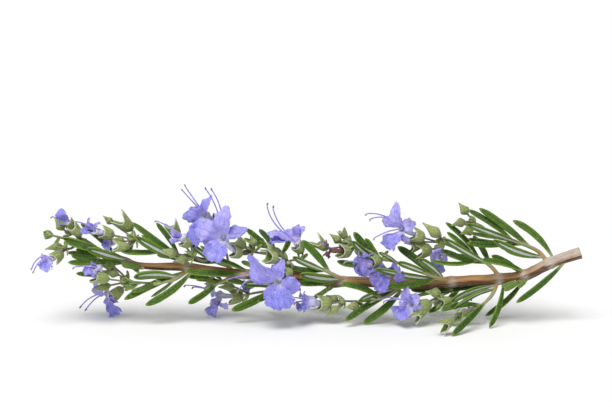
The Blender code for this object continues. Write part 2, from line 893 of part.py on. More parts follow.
def make_flower(name):
    (stalk, number), throat, petals, stamens = FLOWERS[name]
    foot, mouth, _, _ = FLOWER_STALKS[stalk][3][number]
    foot, mouth, throat = Vector(foot), Vector(mouth), Vector(throat)
    outwards = (mouth - foot).normalized()
    heel = mouth + outwards * GAP
    path = [heel, heel + outwards * TUBE_HEEL, throat]
    forward = (throat - heel).normalized()
    shapes = [tube(path, TUBE_WIDTHS, CALYX_SIDES)]
    for tip, width in petals:
        shapes.append(petal(throat, Vector(tip), width, heel))
    for tip in stamens:
        shapes.append(filament(throat, Vector(tip), forward))
    grown_together(name, shapes)


def build():
    clear_scene()
    make_main_stem()
    for name, row in STEM_LEAVES.items():
        make_stem_leaf(name, *row)
    for name in SHOOTS:
        make_shoot(name)
    for name in FLOWER_STALKS:
        make_flower_stalk(name)
    for name in FLOWERS:
        make_flower(name)


build()
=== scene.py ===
"""The looks of a cut sprig of rosemary in flower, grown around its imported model.

The tables give the sprig's own skeleton in millimetres: the cut end of the stem at +X, the
growing tip at -X, +Z up. A leaf row is (where on its stalk it grows, from 0 to 1; the place of
its tip; its width; how far it is turned: 0 has the green face up, 90 has it towards -Y and -90
has the pale underside towards -Y). A calyx row is (where its foot is; where its mouth or tip
is; its greatest width; "open", "lipped" or "closed").
"""

import math
import random

import bpy
import numpy as np
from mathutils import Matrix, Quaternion, Vector, noise


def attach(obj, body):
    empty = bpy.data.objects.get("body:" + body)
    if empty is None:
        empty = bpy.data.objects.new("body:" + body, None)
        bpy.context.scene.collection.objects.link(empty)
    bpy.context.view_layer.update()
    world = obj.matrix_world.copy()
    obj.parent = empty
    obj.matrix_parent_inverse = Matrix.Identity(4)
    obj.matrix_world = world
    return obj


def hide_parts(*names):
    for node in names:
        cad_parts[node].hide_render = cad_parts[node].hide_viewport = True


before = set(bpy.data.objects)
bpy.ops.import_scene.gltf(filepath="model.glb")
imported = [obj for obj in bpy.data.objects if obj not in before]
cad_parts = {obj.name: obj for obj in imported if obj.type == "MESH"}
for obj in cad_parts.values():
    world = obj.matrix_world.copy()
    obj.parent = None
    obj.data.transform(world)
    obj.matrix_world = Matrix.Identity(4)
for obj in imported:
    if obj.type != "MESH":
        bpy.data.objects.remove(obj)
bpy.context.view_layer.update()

MM = 0.001
UP = Vector((0, 0, 1))
# Moves the tables' millimetres into the frame that the model was packed in.
BOX_SHIFT = Vector((1.25, -1.7, -0.45))

# Stalks and pedicels.
STALK_WIDTH = 1.7
STALK_TAPER = 0.6
PEDICEL_WIDTH = 0.8

# Leaves: how far a blade bows away from its stalk, in lengths, and how much of that the leaves
# on the main stem have; how far its middle sways, in lengths, and its greatest twist, in
# degrees; its sections; its modelled width as a share of the listed one; its width at the
# foot as a share of its greatest; and the share of its length that the tip is rounded over.
LEAF_BEND = 0.28
STEM_LEAF_BEND = 0.7
LEAF_SWAY = 0.025
LEAF_TWIST = 16
LEAF_RINGS = 26
LEAF_NARROWING = 0.92
LEAF_ROOT = 0.36
TIP_ROUNDING = 0.26

# Bracts: how many a pedicel has at its foot, how long they are and how wide.
BRACTS = 3
BRACT_LENGTHS = (2.8, 4.6)
BRACT_WIDTH = 1.8

# Where pairs of leaves and shoots leave the main stem, as places along X.
STEM_NODES = (91.5, 81.5, 72, 54, 32, 12, -26, -47.5, -70)

# Points on the middle line of the main stem, from the cut end to the tip, each with the
# stem's width there.
STEM = [
    ((103, 0, 27.8), 4.3),
    ((92.5, 0, 24.2), 4.1),
    ((82, 0, 19), 4.1),
    ((72, 0, 17.5), 4.0),
    ((55, 0, 16.5), 3.8),
    ((40, 0, 15.6), 3.8),
    ((18, 0, 16.5), 3.7),
    ((2, 0, 16.8), 3.7),
    ((-6, 0, 18.6), 3.7),
    ((-20, 0, 19.1), 3.6),
    ((-37, 0, 20.5), 3.6),
    ((-48, 0, 22.2), 3.4),
    ((-65, 0, 22.8), 2.3),
    ((-72, 0, 25.6), 1.7),
    ((-85, 0, 30), 1.2),
    ((-92, 0, 32.8), 1.0),
    ((-98.6, 0, 34.6), 0.8),
]

# Single leaves on the main stem: (x of the foot on the stem, tip, width, turn).
STEM_LEAVES = {
    "stem_leaf_01": (93, (77, 2, 40), 3.0, 60),
    "stem_leaf_02": (96.3, (78.1, -6, 9.7), 2.7, 70),
    "stem_leaf_03": (82.4, (64.2, -6.5, 26.5), 3.2, 40),
    "stem_leaf_04": (81.5, (67.6, 4, 1.9), 2.6, 60),
    "stem_leaf_05": (73.5, (67.6, -10, 1), 2.6, 60),
    "stem_leaf_06": (70, (46.5, 3, 11.5), 2.4, 60),
    "stem_leaf_07": (-26, (-48, -6, 22), 3.0, 60),
    "stem_leaf_08": (-24, (-36, -4, 26.5), 2.6, 30),
    "stem_leaf_09": (-75, (-88, 2, 38.8), 2.5, 60),
    "stem_leaf_10": (-76, (-94.2, -4, 34.5), 3.2, -70),
    "stem_leaf_11": (-71, (-84.7, -7, 31), 3.8, -85),
    "stem_leaf_12": (-73, (-92.3, -4.5, 25.1), 3.2, 30),
}

# Leafy side shoots: (x of the foot on the stem, the rest of the stalk's middle line, leaves).
SHOOTS = {
    "side_shoot_01": (
        91,
        [(87, 2, 28), (80, 3, 31), (74, 4, 33), (67, 4, 35)],
        [
            (0.12, (69, -5, 34), 3.4, -90),
            (0.15, (73.7, -3, 29.5), 2.6, 30),
            (0.35, (64.5, 6, 44), 3.0, 60),
            (0.6, (60.5, 8, 43), 2.6, 50),
            (0.5, (58.5, -4, 40), 3.0, -90),
            (0.55, (59.5, -1, 32), 2.6, 80),
            (0.4, (72, 14, 37), 2.8, 0),
            (0.7, (61, 14, 33), 2.8, 20),
            (0.45, (60, 2, 32.9), 2.4, 60),
        ],
    ),
    "side_shoot_02": (
        73,
        [(68.5, 2, 22.5), (63.5, 2, 25.2), (58, 3, 27.8)],
        [
            (0.35, (62.5, 7, 33), 2.6, 60),
            (0.6, (51.5, 3, 39), 2.6, 50),
            (0.4, (50, -5, 34.5), 3.0, -90),
            (0.6, (45.2, -5, 26), 2.6, 30),
            (0.45, (50.2, 1, 28.7), 3.2, 40),
            (0.7, (53, 14, 33), 2.8, 0),
            (0.5, (58, 15, 24), 2.8, 0),
        ],
    ),
    "side_shoot_03": (
        72,
        [(69.5, -3, 12.6), (67.3, -4, 10.1), (64.2, -5.5, 7.7)],
        [
            (0.2, (52.8, -8, 10.1), 2.8, -90),
            (0.3, (54, -10.5, 8.2), 2.6, -60),
            (0.75, (52.5, -21, 0.95), 2.8, 60),
            (0.85, (52.8, -6.5, 2), 3.4, 20),
            (0.9, (49.4, -7, 6.8), 2.6, 60),
        ],
    ),
    "side_shoot_04": (
        64,
        [(60, 6, 13.5), (55, 9, 11)],
        [
            (0.95, (40, 20, 1), 2.8, 0),
            (0.6, (42, 13, 15), 2.8, 0),
            (0.8, (38, 12, 7), 2.8, 0),
            (0.4, (52, 22, 10), 2.8, 30),
            (0.7, (46, 9, 2), 2.6, 60),
        ],
    ),
    "side_shoot_05": (
        54,
        [(47, -4, 19.5), (40, -5.5, 22.3), (33, -6, 25.2), (30, -6, 26.2)],
        [
            (0.15, (40.5, -9.5, 27.5), 3.0, -90),
            (0.4, (32.5, -9.5, 26.2), 2.8, -90),
            (0.1, (23.9, -10.5, 24.1), 3.2, -70),
            (0.25, (28, -8.5, 17.3), 2.8, 80),
            (0.3, (33.1, 0.5, 30.1), 3.4, 60),
            (0.9, (25.5, -8.8, 30), 2.0, -60),
        ],
    ),
    "side_shoot_06": (
        36,
        [(30, -4, 12.2), (25, -5, 10.7)],
        [
            (0.3, (17.9, -8, 10.5), 2.8, -90),
            (0.3, (12.9, -8.5, 3.2), 3.0, 60),
            (0.85, (11.4, -5.5, 17), 2.8, 60),
        ],
    ),
    "side_shoot_07": (
        22,
        [(15.6, 7, 14.5), (9.1, 11, 13)],
        [
            (0.95, (1.9, 20, 12), 2.8, 0),
            (0.6, (-4, 13, 16), 2.8, 0),
            (0.85, (2.7, 24, 12.4), 2.8, 0),
            (0.7, (-3, 16, 12.8), 2.8, 30),
            (0.5, (6.5, 9, 12.6), 2.4, 60),
            (0.95, (-5, 23.5, 1.2), 2.8, 0),
        ],
    ),
    "side_shoot_08": (
        34,
        [(28, 0, 22), (24.5, 0, 26.8), (20, 0, 29.5)],
        [
            (0.6, (16.3, 1, 35.7), 3.2, 60),
            (0.6, (15.6, -4, 33.3), 3.2, -90),
            (0.5, (20.9, 5, 32.4), 3.0, 60),
            (0.55, (9.9, -1.5, 24.9), 3.0, 60),
            (0.55, (12, 9, 33), 2.8, 10),
            (0.5, (17, 13, 26), 2.8, 10),
        ],
    ),
    "side_shoot_09": (
        14,
        [(8.5, -3, 20), (4, -3.5, 22.3), (-1, -3, 23.8)],
        [
            (0.5, (-3.5, -3, 33.3), 3.2, 70),
            (0.55, (-7, -7, 27.8), 2.8, -90),
            (0.6, (-9.5, -1.5, 23), 2.4, 60),
            (0.12, (-4.2, -7.5, 21.2), 4.2, -80),
            (0.15, (-5.7, -4.5, 17.2), 2.8, 60),
        ],
    ),
    "side_shoot_10": (
        -5,
        [(-10, 4, 24.5), (-14.5, 5, 27.5), (-18, 5, 30)],
        [
            (0.8, (-25, 4, 36.5), 2.6, 60),
            (0.7, (-20.1, 8, 35.3), 2.4, 60),
            (0.6, (-8, 13, 33), 2.6, 60),
            (0.85, (-26, 12, 31), 2.8, 0),
            (0.5, (-14, 18, 26), 2.8, 0),
        ],
    ),
    "side_shoot_11": (
        -4,
        [(-9, 1.5, 14.8), (-14, 1.5, 13), (-18, 1, 12.3)],
        [
            (0.75, (-30.4, -4, 6.2), 3.4, 70),
            (0.3, (-20.5, -6, 10.1), 2.6, 30),
            (0.6, (-26.2, -6.5, 17), 3.6, -60),
            (0.7, (-18.6, 13, 7.2), 2.6, 0),
            (0.5, (-18, 12, 14), 2.8, 0),
        ],
    ),
    "side_shoot_12": (
        -29,
        [(-34, 1, 24.2), (-38, 1, 26)],
        [
            (0.3, (-46, -3, 32), 2.6, -90),
            (0.6, (-49, 1.5, 27), 2.6, 60),
            (0.6, (-43, 12, 28), 2.8, 0),
            (0.7, (-35, 11, 33), 2.6, 0),
        ],
    ),
    "side_shoot_13": (
        -28,
        [(-32.7, 0.5, 17), (-38, 0.5, 14.6)],
        [
            (0.8, (-47, -2.5, 8.5), 2.8, 70),
            (0.8, (-44.1, 1.5, 16.8), 2.2, 30),
            (0.6, (-45, 12, 20), 2.8, 0),
        ],
    ),
    "side_shoot_14": (
        -46,
        [(-52, -2.5, 18), (-57, -3, 16.8)],
        [
            (0.2, (-71.1, -6, 10.9), 3.2, 60),
            (0.5, (-67.3, -6.5, 19.7), 3.9, -80),
            (0.6, (-62, 6, 9), 2.8, 40),
        ],
    ),
    "side_shoot_15": (
        -45.5,
        [(-52, 2.5, 27), (-56.5, 2, 29)],
        [
            (0.5, (-68.5, 2, 39.3), 2.7, 60),
            (0.5, (-59.5, 6, 38.3), 2.3, 60),
            (0.3, (-66.5, -4.5, 35), 3.6, -90),
            (0.85, (-72.2, -4.5, 29.4), 3.2, 20),
            (0.7, (-66, 13, 32), 2.8, 0),
            (0.5, (-60, 14, 24), 2.8, 0),
        ],
    ),
    "side_shoot_16": (
        -76,
        [(-79, 3, 27), (-82, 5, 27.5)],
        [
            (0.9, (-94, 4, 27), 2.4, 30),
            (0.8, (-90, 9, 32), 2.4, 0),
            (0.6, (-86, 11, 24), 2.6, 0),
        ],
    ),
}

# Flower stalks: (the shoot or stem that it grows on, where on it, the rest of the stalk's
# middle line, calyces).
FLOWER_STALKS = {
    "flower_stalk_01": (
        "side_shoot_01",
        1,
        [(66, 4.5, 37), (63, 4.5, 38.5)],
        [
            ((60, 4.5, 42), (56.8, 4.5, 46), 4.2, "closed"),
            ((59, 3, 39.5), (54, 2, 38.2), 4.0, "closed"),
            ((62, 2.5, 36.5), (57.5, 1.5, 35), 4.4, "closed"),
        ],
    ),
    "flower_stalk_02": (
        "side_shoot_02",
        1,
        [(54, 1.5, 29.8), (51, 0.5, 31.2)],
        [
            ((49.4, -1, 34.3), (42.9, -1.5, 39.4), 4.8, "closed"),
            ((43.5, 0, 33.5), (38.5, 0, 35.2), 5.4, "open"),
            ((46.4, 1, 28.9), (39.9, 1.5, 28), 5.8, "lipped"),
            ((43.7, 2.5, 31.7), (37.2, 2, 29.1), 4.6, "open"),
        ],
    ),
    "flower_stalk_03": (
        "side_shoot_03",
        1,
        [(60, -9, 7.7), (56.5, -15, 8.6)],
        [
            ((53.2, -18, 6.6), (48.3, -20.3, 3.4), 4.2, "lipped"),
        ],
    ),
    "flower_stalk_04": (
        "side_shoot_03",
        0.3,
        [(64, -1, 11.8), (57, -2.5, 11), (50, -4, 10)],
        [
            ((46, -5, 9.4), (41, -5, 7.4), 5.4, "open"),
            ((49.5, -3, 12.6), (44, -4.5, 13.6), 4.4, "closed"),
            ((60.4, -6, 6.2), (55.1, -8, 5.4), 3.6, "closed"),
            ((54, -3, 9.9), (49, -4, 9.3), 4.2, "open"),
            ((45.6, -6, 9.7), (39.1, -8, 3.5), 4.0, "open"),
        ],
    ),
    "flower_stalk_05": (
        "side_shoot_08",
        1,
        [(17, 1.5, 30), (15, 2, 31)],
        [
            ((15.5, 0, 28), (10.5, -2, 29), 5.4, "open"),
            ((11.5, 2, 31.5), (7.5, 2, 34.5), 3.8, "closed"),
            ((13.5, 3, 32.5), (11.5, 4, 36), 3.4, "open"),
            ((6.5, 0, 29.1), (1.1, 0, 33.3), 4.4, "lipped"),
        ],
    ),
    "flower_stalk_06": (
        "side_shoot_06",
        1,
        [(20, -2.5, 9.4), (13, -2, 9.3)],
        [
            ((8, -3, 8.7), (2.7, -3, 8.7), 6.0, "open"),
            ((10.3, -1, 9.1), (6.1, 0, 10.9), 3.8, "closed"),
            ((10.5, -3.5, 7.5), (6, -4.5, 4.2), 3.6, "closed"),
            ((18.2, -4, 8.1), (13.3, -5, 7.6), 4.2, "closed"),
        ],
    ),
    "flower_stalk_07": (
        "side_shoot_09",
        1,
        [(-4, -1.2, 25.5), (-9, -4.5, 25.5)],
        [
            ((-12.5, -7, 27), (-17, -9.5, 28.5), 5.2, "open"),
            ((-12, -3.5, 27.5), (-18, -4, 31), 4.2, "open"),
            ((-7, -8, 22.5), (-11, -9.5, 21.5), 4.6, "open"),
            ((-3, -1, 28), (-5.8, -1, 31), 4.4, "open"),
        ],
    ),
    "flower_stalk_08": (
        "side_shoot_10",
        0.55,
        [(-17, 1.5, 27), (-22, 0.5, 28)],
        [
            ((-25, 0, 29.8), (-29.5, 0, 33), 5.0, "open"),
            ((-26, -1.5, 27.5), (-30, -2.5, 29), 5.0, "open"),
            ((-21.5, 0.5, 30.5), (-23, -0.5, 34.5), 3.4, "closed"),
        ],
    ),
    "flower_stalk_09": (
        "side_shoot_12",
        0.25,
        [(-33, 4, 29), (-34, 4.5, 35)],
        [
            ((-35.5, 3.5, 38), (-38.5, 2.5, 41), 4.4, "open"),
            ((-38.8, 1, 30), (-41, 1, 35.5), 3.8, "closed"),
        ],
    ),
    "flower_stalk_10": (
        "side_shoot_12",
        1,
        [(-41, -2.5, 25.2), (-44.5, -3.5, 27.2)],
        [
            ((-45.5, -4.5, 31.5), (-49, -5, 33.6), 4.2, "open"),
            ((-50.5, -1, 33.9), (-53.6, -1, 39.7), 5.0, "open"),
            ((-51, -4.5, 28.3), (-56, -5, 30), 4.6, "closed"),
            ((-47, -5, 26.8), (-52, -5.5, 25.6), 3.8, "closed"),
        ],
    ),
    "flower_stalk_11": (
        "side_shoot_15",
        1,
        [(-60.5, -0.3, 30), (-67, 0.6, 33)],
        [
            ((-68.4, 3.5, 35.9), (-74.3, 3.5, 41.2), 5.4, "lipped"),
            ((-76, 4.2, 38.4), (-79.5, 5, 41), 3.2, "closed"),
            ((-75, 0, 34.5), (-80, -0.5, 36.2), 5.0, "open"),
            ((-69, -2.6, 30.6), (-75, -3.4, 31.2), 4.2, "open"),
            ((-71.1, -1, 32.4), (-75.2, -1.5, 33.6), 3.4, "closed"),
        ],
    ),
    "flower_stalk_12": (
        "main_stem",
        -88,
        [(-89.5, 1, 34), (-91, 1, 35)],
        [
            ((-94.5, 1, 36.5), (-97.5, 1, 41), 4.2, "closed"),
            ((-90.5, 1.5, 36.8), (-93, 1.5, 40), 4.0, "open"),
            ((-87.4, -1, 34.7), (-91.2, -1, 38.6), 4.4, "open"),
        ],
    ),
    "flower_stalk_13": (
        "main_stem",
        -89,
        [(-91, -2.5, 30.2), (-93, -3, 30)],
        [
            ((-95, -1, 31), (-101, -1, 29.5), 3.6, "closed"),
            ((-94, -5, 29.2), (-97.5, -5.5, 26.6), 4.8, "open"),
        ],
    ),
    "flower_stalk_14": (
        "side_shoot_14",
        1,
        [(-63, -1, 16.2), (-70, 0, 16.5)],
        [
            ((-76.5, -6, 18.8), (-83, -7, 20.3), 5.0, "open"),
            ((-73.5, -1, 19.5), (-79.5, -1.5, 21), 3.6, "closed"),
            ((-76.5, -3, 15.8), (-83, -4, 14.6), 4.0, "closed"),
            ((-73, 7, 12.2), (-77, 9, 8.6), 4.6, "open"),
            ((-74.9, 0, 22.1), (-80.6, -0.5, 23.2), 4.0, "closed"),
        ],
    ),
    "flower_stalk_15": (
        "side_shoot_11",
        1,
        [(-21.5, 5, 10.8), (-24, 7, 9.8)],
        [
            ((-26.2, 8, 8.9), (-31.9, 8, 8.5), 6.2, "open"),
            ((-29.5, 6, 13), (-35.5, 6, 12.8), 3.8, "closed"),
        ],
    ),
    "flower_stalk_16": (
        "side_shoot_05",
        1,
        [(27.8, -6.2, 26.6), (26.8, -6.4, 26.8)],
        [
            ((27, -6.4, 26.8), (22.8, -6.8, 25.9), 4.8, "open"),
        ],
    ),
}

# The flowers: (flower stalk and which of its calyces), the throat's middle, the way it looks,
# its half width, how withered it is from 0 to 1, the petals as (kind, tip, width), and the
# stamens and style as (tip, how far the middle is bent aside).
FLOWERS = {
    "flower_01": (
        ("flower_stalk_02", 1),
        (34.2, -3, 37.8),
        (-0.6, -0.75, 0.1),
        1.68,
        0.0,
        [
            ("hood", (31.9, -2, 48.1), 5.0),
            ("hood", (40.3, -2, 39.9), 5.4),
            ("side", (27.7, -5, 42.1), 4.8),
            ("side", (36.1, -3, 30.8), 5.2),
            ("lip", (30.8, -6.5, 29.6), 9.8),
        ],
        [
            ((20.9, -6, 44.2), (0, 0, 4)),
            ((22.4, -7.5, 42.5), (0, 0, 4.5)),
            ((23.9, -6.5, 35), (0, 0, 1.5)),
        ],
    ),
    "flower_02": (
        ("flower_stalk_05", 0),
        (7.5, -3, 29.5),
        (-0.9, -0.3, 0.2),
        0.92,
        0.85,
        [
            ("hood", (5, -3.5, 33), 3.4),
            ("side", (5.5, -4.5, 29.5), 3.2),
            ("lip", (6.5, -4, 26.5), 3.4),
        ],
        [((3.5, -4, 33), (0, 0, 0))],
    ),
    "flower_03": (
        ("flower_stalk_04", 0),
        (38, -6, 8.9),
        (-0.65, -0.7, -0.1),
        1.51,
        0.0,
        [
            ("hood", (35.7, -6.5, 16), 4.6),
            ("hood", (40.7, -7, 13), 5.6),
            ("side", (41.4, -9, 6.8), 4.8),
            ("side", (34.2, -9, 8.7), 3.8),
            ("lip", (33.4, -7.5, 3), 8.8),
        ],
        [((25.8, -8.5, 12.1), (0, 0, 2.4)), ((27.7, -10, 11.3), (0, 0, 2.6))],
    ),
    "flower_04": (
        ("flower_stalk_07", 3),
        (-5.7, -2, 33.3),
        (-0.4, -0.45, 0.8),
        1.6,
        0.0,
        [
            ("hood", (-5.3, -2.5, 39.2), 4.2),
            ("hood", (-3, -0.5, 38.5), 4.2),
            ("side", (-16.3, -3, 37.4), 5.2),
            ("side", (-9.5, 1.5, 36.9), 4.8),
            ("lip", (-15.6, -4.5, 31.9), 7.2),
        ],
        [((-16.7, -1, 46.7), (-4.6, 0, -1.4)), ((-14.4, -2.5, 45.8), (-3, 0, -1.2))],
    ),
    "flower_05": (
        ("flower_stalk_07", 2),
        (-12.5, -10, 19),
        (-0.3, -0.95, -0.1),
        1.76,
        0.0,
        [
            ("hood", (-24.7, -10, 28.3), 9.0),
            ("hood", (-11.4, -9, 27.7), 6.4),
            ("side", (-16.7, -13, 12.6), 5.0),
            ("side", (-4.2, -12.5, 17.2), 7.0),
            ("lip", (-9.9, -12.5, 8.3), 11.6),
        ],
        [((-31.5, -9, 19.6), (2, 0, 4)), ((-27.4, -11, 15.7), (-3, 0, 6))],
    ),
    "flower_06": (
        ("flower_stalk_06", 0),
        (-1.1, -4, 9.3),
        (-1, -0.2, 0),
        2.52,
        0.12,
        [
            ("hood", (-4.6, -4, 12.4), 8.0),
            ("side", (-4.2, -7.5, 10), 6.5),
            ("side", (-3.4, -0.5, 9.8), 6.0),
            ("lip", (-5.3, -5.5, 6.1), 8.4),
        ],
        [((-6.5, -4.5, 11.3), (0, 0, 1)), ((-6.1, -6, 9.7), (0, 0, 1))],
    ),
    "flower_07": (
        ("flower_stalk_09", 0),
        (-40.7, 0.5, 42.2),
        (-0.45, -0.85, 0.1),
        1.51,
        0.0,
        [
            ("hood", (-38.4, 0, 50.4), 4.4),
            ("hood", (-46, -0.5, 44.9), 5.6),
            ("side", (-48.6, -1.5, 41.8), 4.8),
            ("side", (-41, -4, 33.7), 5.0),
            ("lip", (-44.5, -3.5, 30.5), 6.4),
        ],
        [((-47.8, 1, 53.5), (0, 0, 0)), ((-49, 3, 51.5), (0, 0, 0))],
    ),
    "flower_08": (
        ("flower_stalk_08", 1),
        (-33.4, -4.5, 34.6),
        (-0.25, -0.9, 0.3),
        1.76,
        0.0,
        [
            ("hood", (-32.3, -5, 47.1), 7.0),
            ("side", (-42.2, -7, 39.3), 9.4),
            ("side", (-24.3, -5, 38.6), 5.2),
            ("side", (-38.8, -8, 31), 5.2),
            ("lip", (-36.5, -9.5, 25.5), 9.6),
        ],
        [((-39.5, -5.5, 53.4), (1.5, 0, 3.5)), ((-37.4, -4, 52.9), (2.5, 0, 3))],
    ),
    "flower_09": (
        ("flower_stalk_15", 0),
        (-36.5, 8.5, 8.4),
        (-0.6, -0.6, -0.3),
        1.6,
        0.0,
        [
            ("hood", (-38.4, 7, 18), 5.0),
            ("side", (-39.5, 11, 10.3), 4.2),
            ("side", (-33.1, 4.5, 4), 5.4),
            ("side", (-39, 8, 4.6), 4.6),
            ("lip", (-36.1, 5.3, 1), 9.6),
        ],
        [((-48.6, 5.5, 13.7), (0, 0, 2.5)), ((-45.6, 7.5, 12.5), (0, 0, 2))],
    ),
    "flower_10": (
        ("flower_stalk_12", 1),
        (-93.5, 1.8, 38.8),
        (-0.3, -0.6, 0.7),
        1.18,
        0.0,
        [
            ("hood", (-95.8, 1, 44.4), 4.8),
            ("side", (-91.6, 3, 40.5), 4.0),
            ("lip", (-96.5, -0.5, 39.6), 4.4),
        ],
        [((-98.8, 2.5, 41.4), (1, 0, 0.5))],
    ),
    "flower_11": (
        ("flower_stalk_11", 2),
        (-82.5, -1, 36.6),
        (-0.8, -0.5, 0.3),
        1.26,
        0.0,
        [
            ("hood", (-85.5, 1, 40.9), 4.4),
            ("side", (-81.3, 0, 40.3), 3.6),
            ("lip", (-87.4, -3.5, 36), 5.0),
        ],
        [((-90.8, 0.5, 39.8), (0, 0, 2.2))],
    ),
    "flower_12": (
        ("flower_stalk_13", 1),
        (-98.8, -6, 26.4),
        (-0.6, -0.6, -0.4),
        1.26,
        0.0,
        [
            ("side", (-102.2, -6, 26.8), 4.0),
            ("side", (-98.8, -7.5, 23.4), 3.4),
            ("lip", (-101.5, -6, 21.9), 5.8),
        ],
        [((-105.8, -6, 23.3), (-1.2, 0, 4.6)), ((-104.9, -7.5, 22.4), (-1, 0, 3.6))],
    ),
    "flower_13": (
        ("flower_stalk_14", 3),
        (-79.8, 10, 8.5),
        (-0.4, -0.75, -0.5),
        1.43,
        0.05,
        [
            ("hood", (-84.7, 8, 14.7), 4.8),
            ("side", (-83.6, 12, 10.8), 4.2),
            ("side", (-75.6, 6.5, 6.1), 4.0),
            ("side", (-79, 11, 3.3), 3.8),
            ("lip", (-73.3, 7, 2.4), 7.0),
        ],
        [((-89.7, 9.5, 4.3), (-1, 0, 3)), ((-87.8, 11, 2.9), (0, 0, 3))],
    ),
    "flower_14": (
        ("flower_stalk_14", 0),
        (-81.3, -7.2, 23.5),
        (-0.9, -0.5, 0),
        1.18,
        0.2,
        [
            ("hood", (-84, -6, 25.2), 4.6),
            ("side", (-83.2, -9, 20.7), 3.8),
            ("lip", (-86.3, -8, 21.3), 4.8),
        ],
        [((-89.7, -7, 23.8), (0, 0, 1))],
    ),
    "flower_15": (
        ("flower_stalk_16", 0),
        (20.1, -7.4, 24.7),
        (-0.9, -0.45, 0),
        2.52,
        0.25,
        [
            ("hood", (17.1, -6, 27.9), 8.0),
            ("hood", (22.8, -7, 29.7), 4.6),
            ("side", (16.7, -10, 24.8), 6.5),
            ("side", (23.2, -9, 20.4), 6.5),
            ("lip", (17.9, -8.5, 21), 8.0),
        ],
        [((12.9, -6.5, 25.7), (0, 0, 1.5))],
    ),
}

# Flowers seen between the others: the same rows, with the start and end of the tube in place of
# the calyx.
LOOSE_FLOWERS = {
    "folded_flower_1": (
        ((33.8, -6, 23.3), (32.3, -6.4, 23)),
        (30.4, -6.8, 21.9),
        (-0.4, -0.9, -0.1),
        1.9,
        0.28,
        [
            ("side", (23.9, -8, 22.1), 6.0),
            ("side", (36.9, -6.2, 19), 5.0),
            ("hood", (33.4, -6.5, 24.5), 4.6),
            ("lip", (23.2, -7.4, 15.8), 8.6),
        ],
        [],
    ),
    "back_flower_1": (
        ((52.8, 8, 26.7), (51.7, 8, 25.2)),
        (50.2, 7.6, 24.1),
        (-0.4, -0.9, 0.1),
        1.6,
        0.0,
        [
            ("hood", (49.4, 8.5, 29), 5.0),
            ("side", (46.7, 7, 24.2), 4.6),
            ("side", (53.2, 7.5, 23), 4.2),
            ("lip", (49.4, 7, 18), 6.4),
        ],
        [],
    ),
    "back_flower_2": (
        ((-73.7, 0.5, 32.5), (-75.2, 0.2, 32.1)),
        (-76.4, 0, 31.8),
        (-0.6, -0.8, 0),
        1.3,
        0.1,
        [
            ("hood", (-79.4, 0, 33.3), 3.8),
            ("lip", (-79, -1, 29.3), 4.6),
        ],
        [],
    ),
    "back_flower_3": (
        ((-47, -4.7, 32.4), (-49.2, -5, 33.8)),
        (-49.4, -5.3, 35.1),
        (-0.9, -0.45, 0.1),
        1.3,
        0.0,
        [
            ("hood", (-53.2, -5, 37.4), 3.8),
            ("side", (-53.2, -7, 35.1), 3.2),
            ("lip", (-52.4, -7, 32.4), 4.8),
        ],
        [((-58.5, -4, 41.1), (0, 0, 1.5))],
    ),
    "back_flower_4": (
        ((-20.9, 6, 14.7), (-22.4, 6, 13.9)),
        (-23.9, 6, 13.2),
        (-0.7, -0.7, -0.1),
        1.3,
        0.1,
        [
            ("hood", (-27, 6, 14.7), 3.8),
            ("lip", (-25.8, 5.5, 11.3), 4.6),
        ],
        [],
    ),
}

# More leaves straight on the main stem, 3 to 22 mm long: (foot, tip, width, turn).
SMALL_LEAVES = [
    ((7.5, -1, 15.4), (1, -3, 11.2), 1.6, 60),
    ((-71, -0.5, 24.2), (-65.5, -2.5, 20.6), 1.8, 40),
    ((-96, 0.5, 34), (-97.5, -1.5, 31.8), 1.8, 10),
    ((-70, 0.5, 27), (-68.5, 1.5, 31.5), 1.6, 60),
    ((-70.7, -2, 24.4), (-81.7, -4, 25.6), 2.4, 60),
    ((-71.1, 1, 24.2), (-80.6, 2, 26), 2.2, 60),
    ((-81.7, 2, 27.1), (-90.1, 2, 28.7), 2.2, 60),
    ((-58.5, -4, 17.1), (-68.4, -6, 14), 2.2, 60),
    ((-66.1, -4, 16.7), (-71.1, -5.5, 19.3), 1.9, -40),
    ((-66.1, -4, 16.3), (-70.7, -5.5, 15), 1.9, 40),
    ((-65, -3, 16.5), (-69.9, -4.5, 16.8), 1.8, -80),
    ((-31.2, 2, 15.5), (-40.3, 0, 16.7), 2.0, 60),
    ((-19.8, -1, 21.5), (-26.6, -1, 24.6), 2.2, 60),
    ((82.8, -1.5, 18.1), (79, -4, 15.1), 1.9, 60),
    ((80.6, -1.5, 17.7), (73.3, -5, 14.2), 2.2, 60),
    ((78.3, -2, 17.4), (72.6, -3.5, 15.4), 1.9, 60),
    ((-82.1, -3, 28.9), (-93.5, -5, 33.5), 2.8, 40),
    ((-80.2, -2, 26.4), (-91.2, -3, 27.7), 3.4, 60),
    ((-69.5, 0, 24.4), (-81.7, -2, 29.1), 3.2, -80),
    ((-24.7, 1, 15.3), (-32.3, 0, 17.2), 2.6, 60),
    ((54.7, 2, 12.8), (38.4, 1, 13), 2.8, 60),
    ((-33.8, 2, 15.9), (-44.1, 2, 17.4), 2.2, 60),
    ((80.9, 1, 19.4), (69.2, 2, 26.2), 2.8, 60),
    ((-45.6, -2, 20.9), (-63.1, -6, 8.7), 3.2, 60),
    ((34.6, -1.5, 13.5), (20.1, -4, 1.2), 3.4, 60),
    ((-63.8, -1.5, 22), (-72.2, -3, 24), 2.8, 60),
    ((-75.6, -2, 20.2), (-89.3, -5, 20.9), 2.4, 60),
    ((-37.6, 1, 17.6), (-47.5, 0, 18.8), 2.2, 60),
]

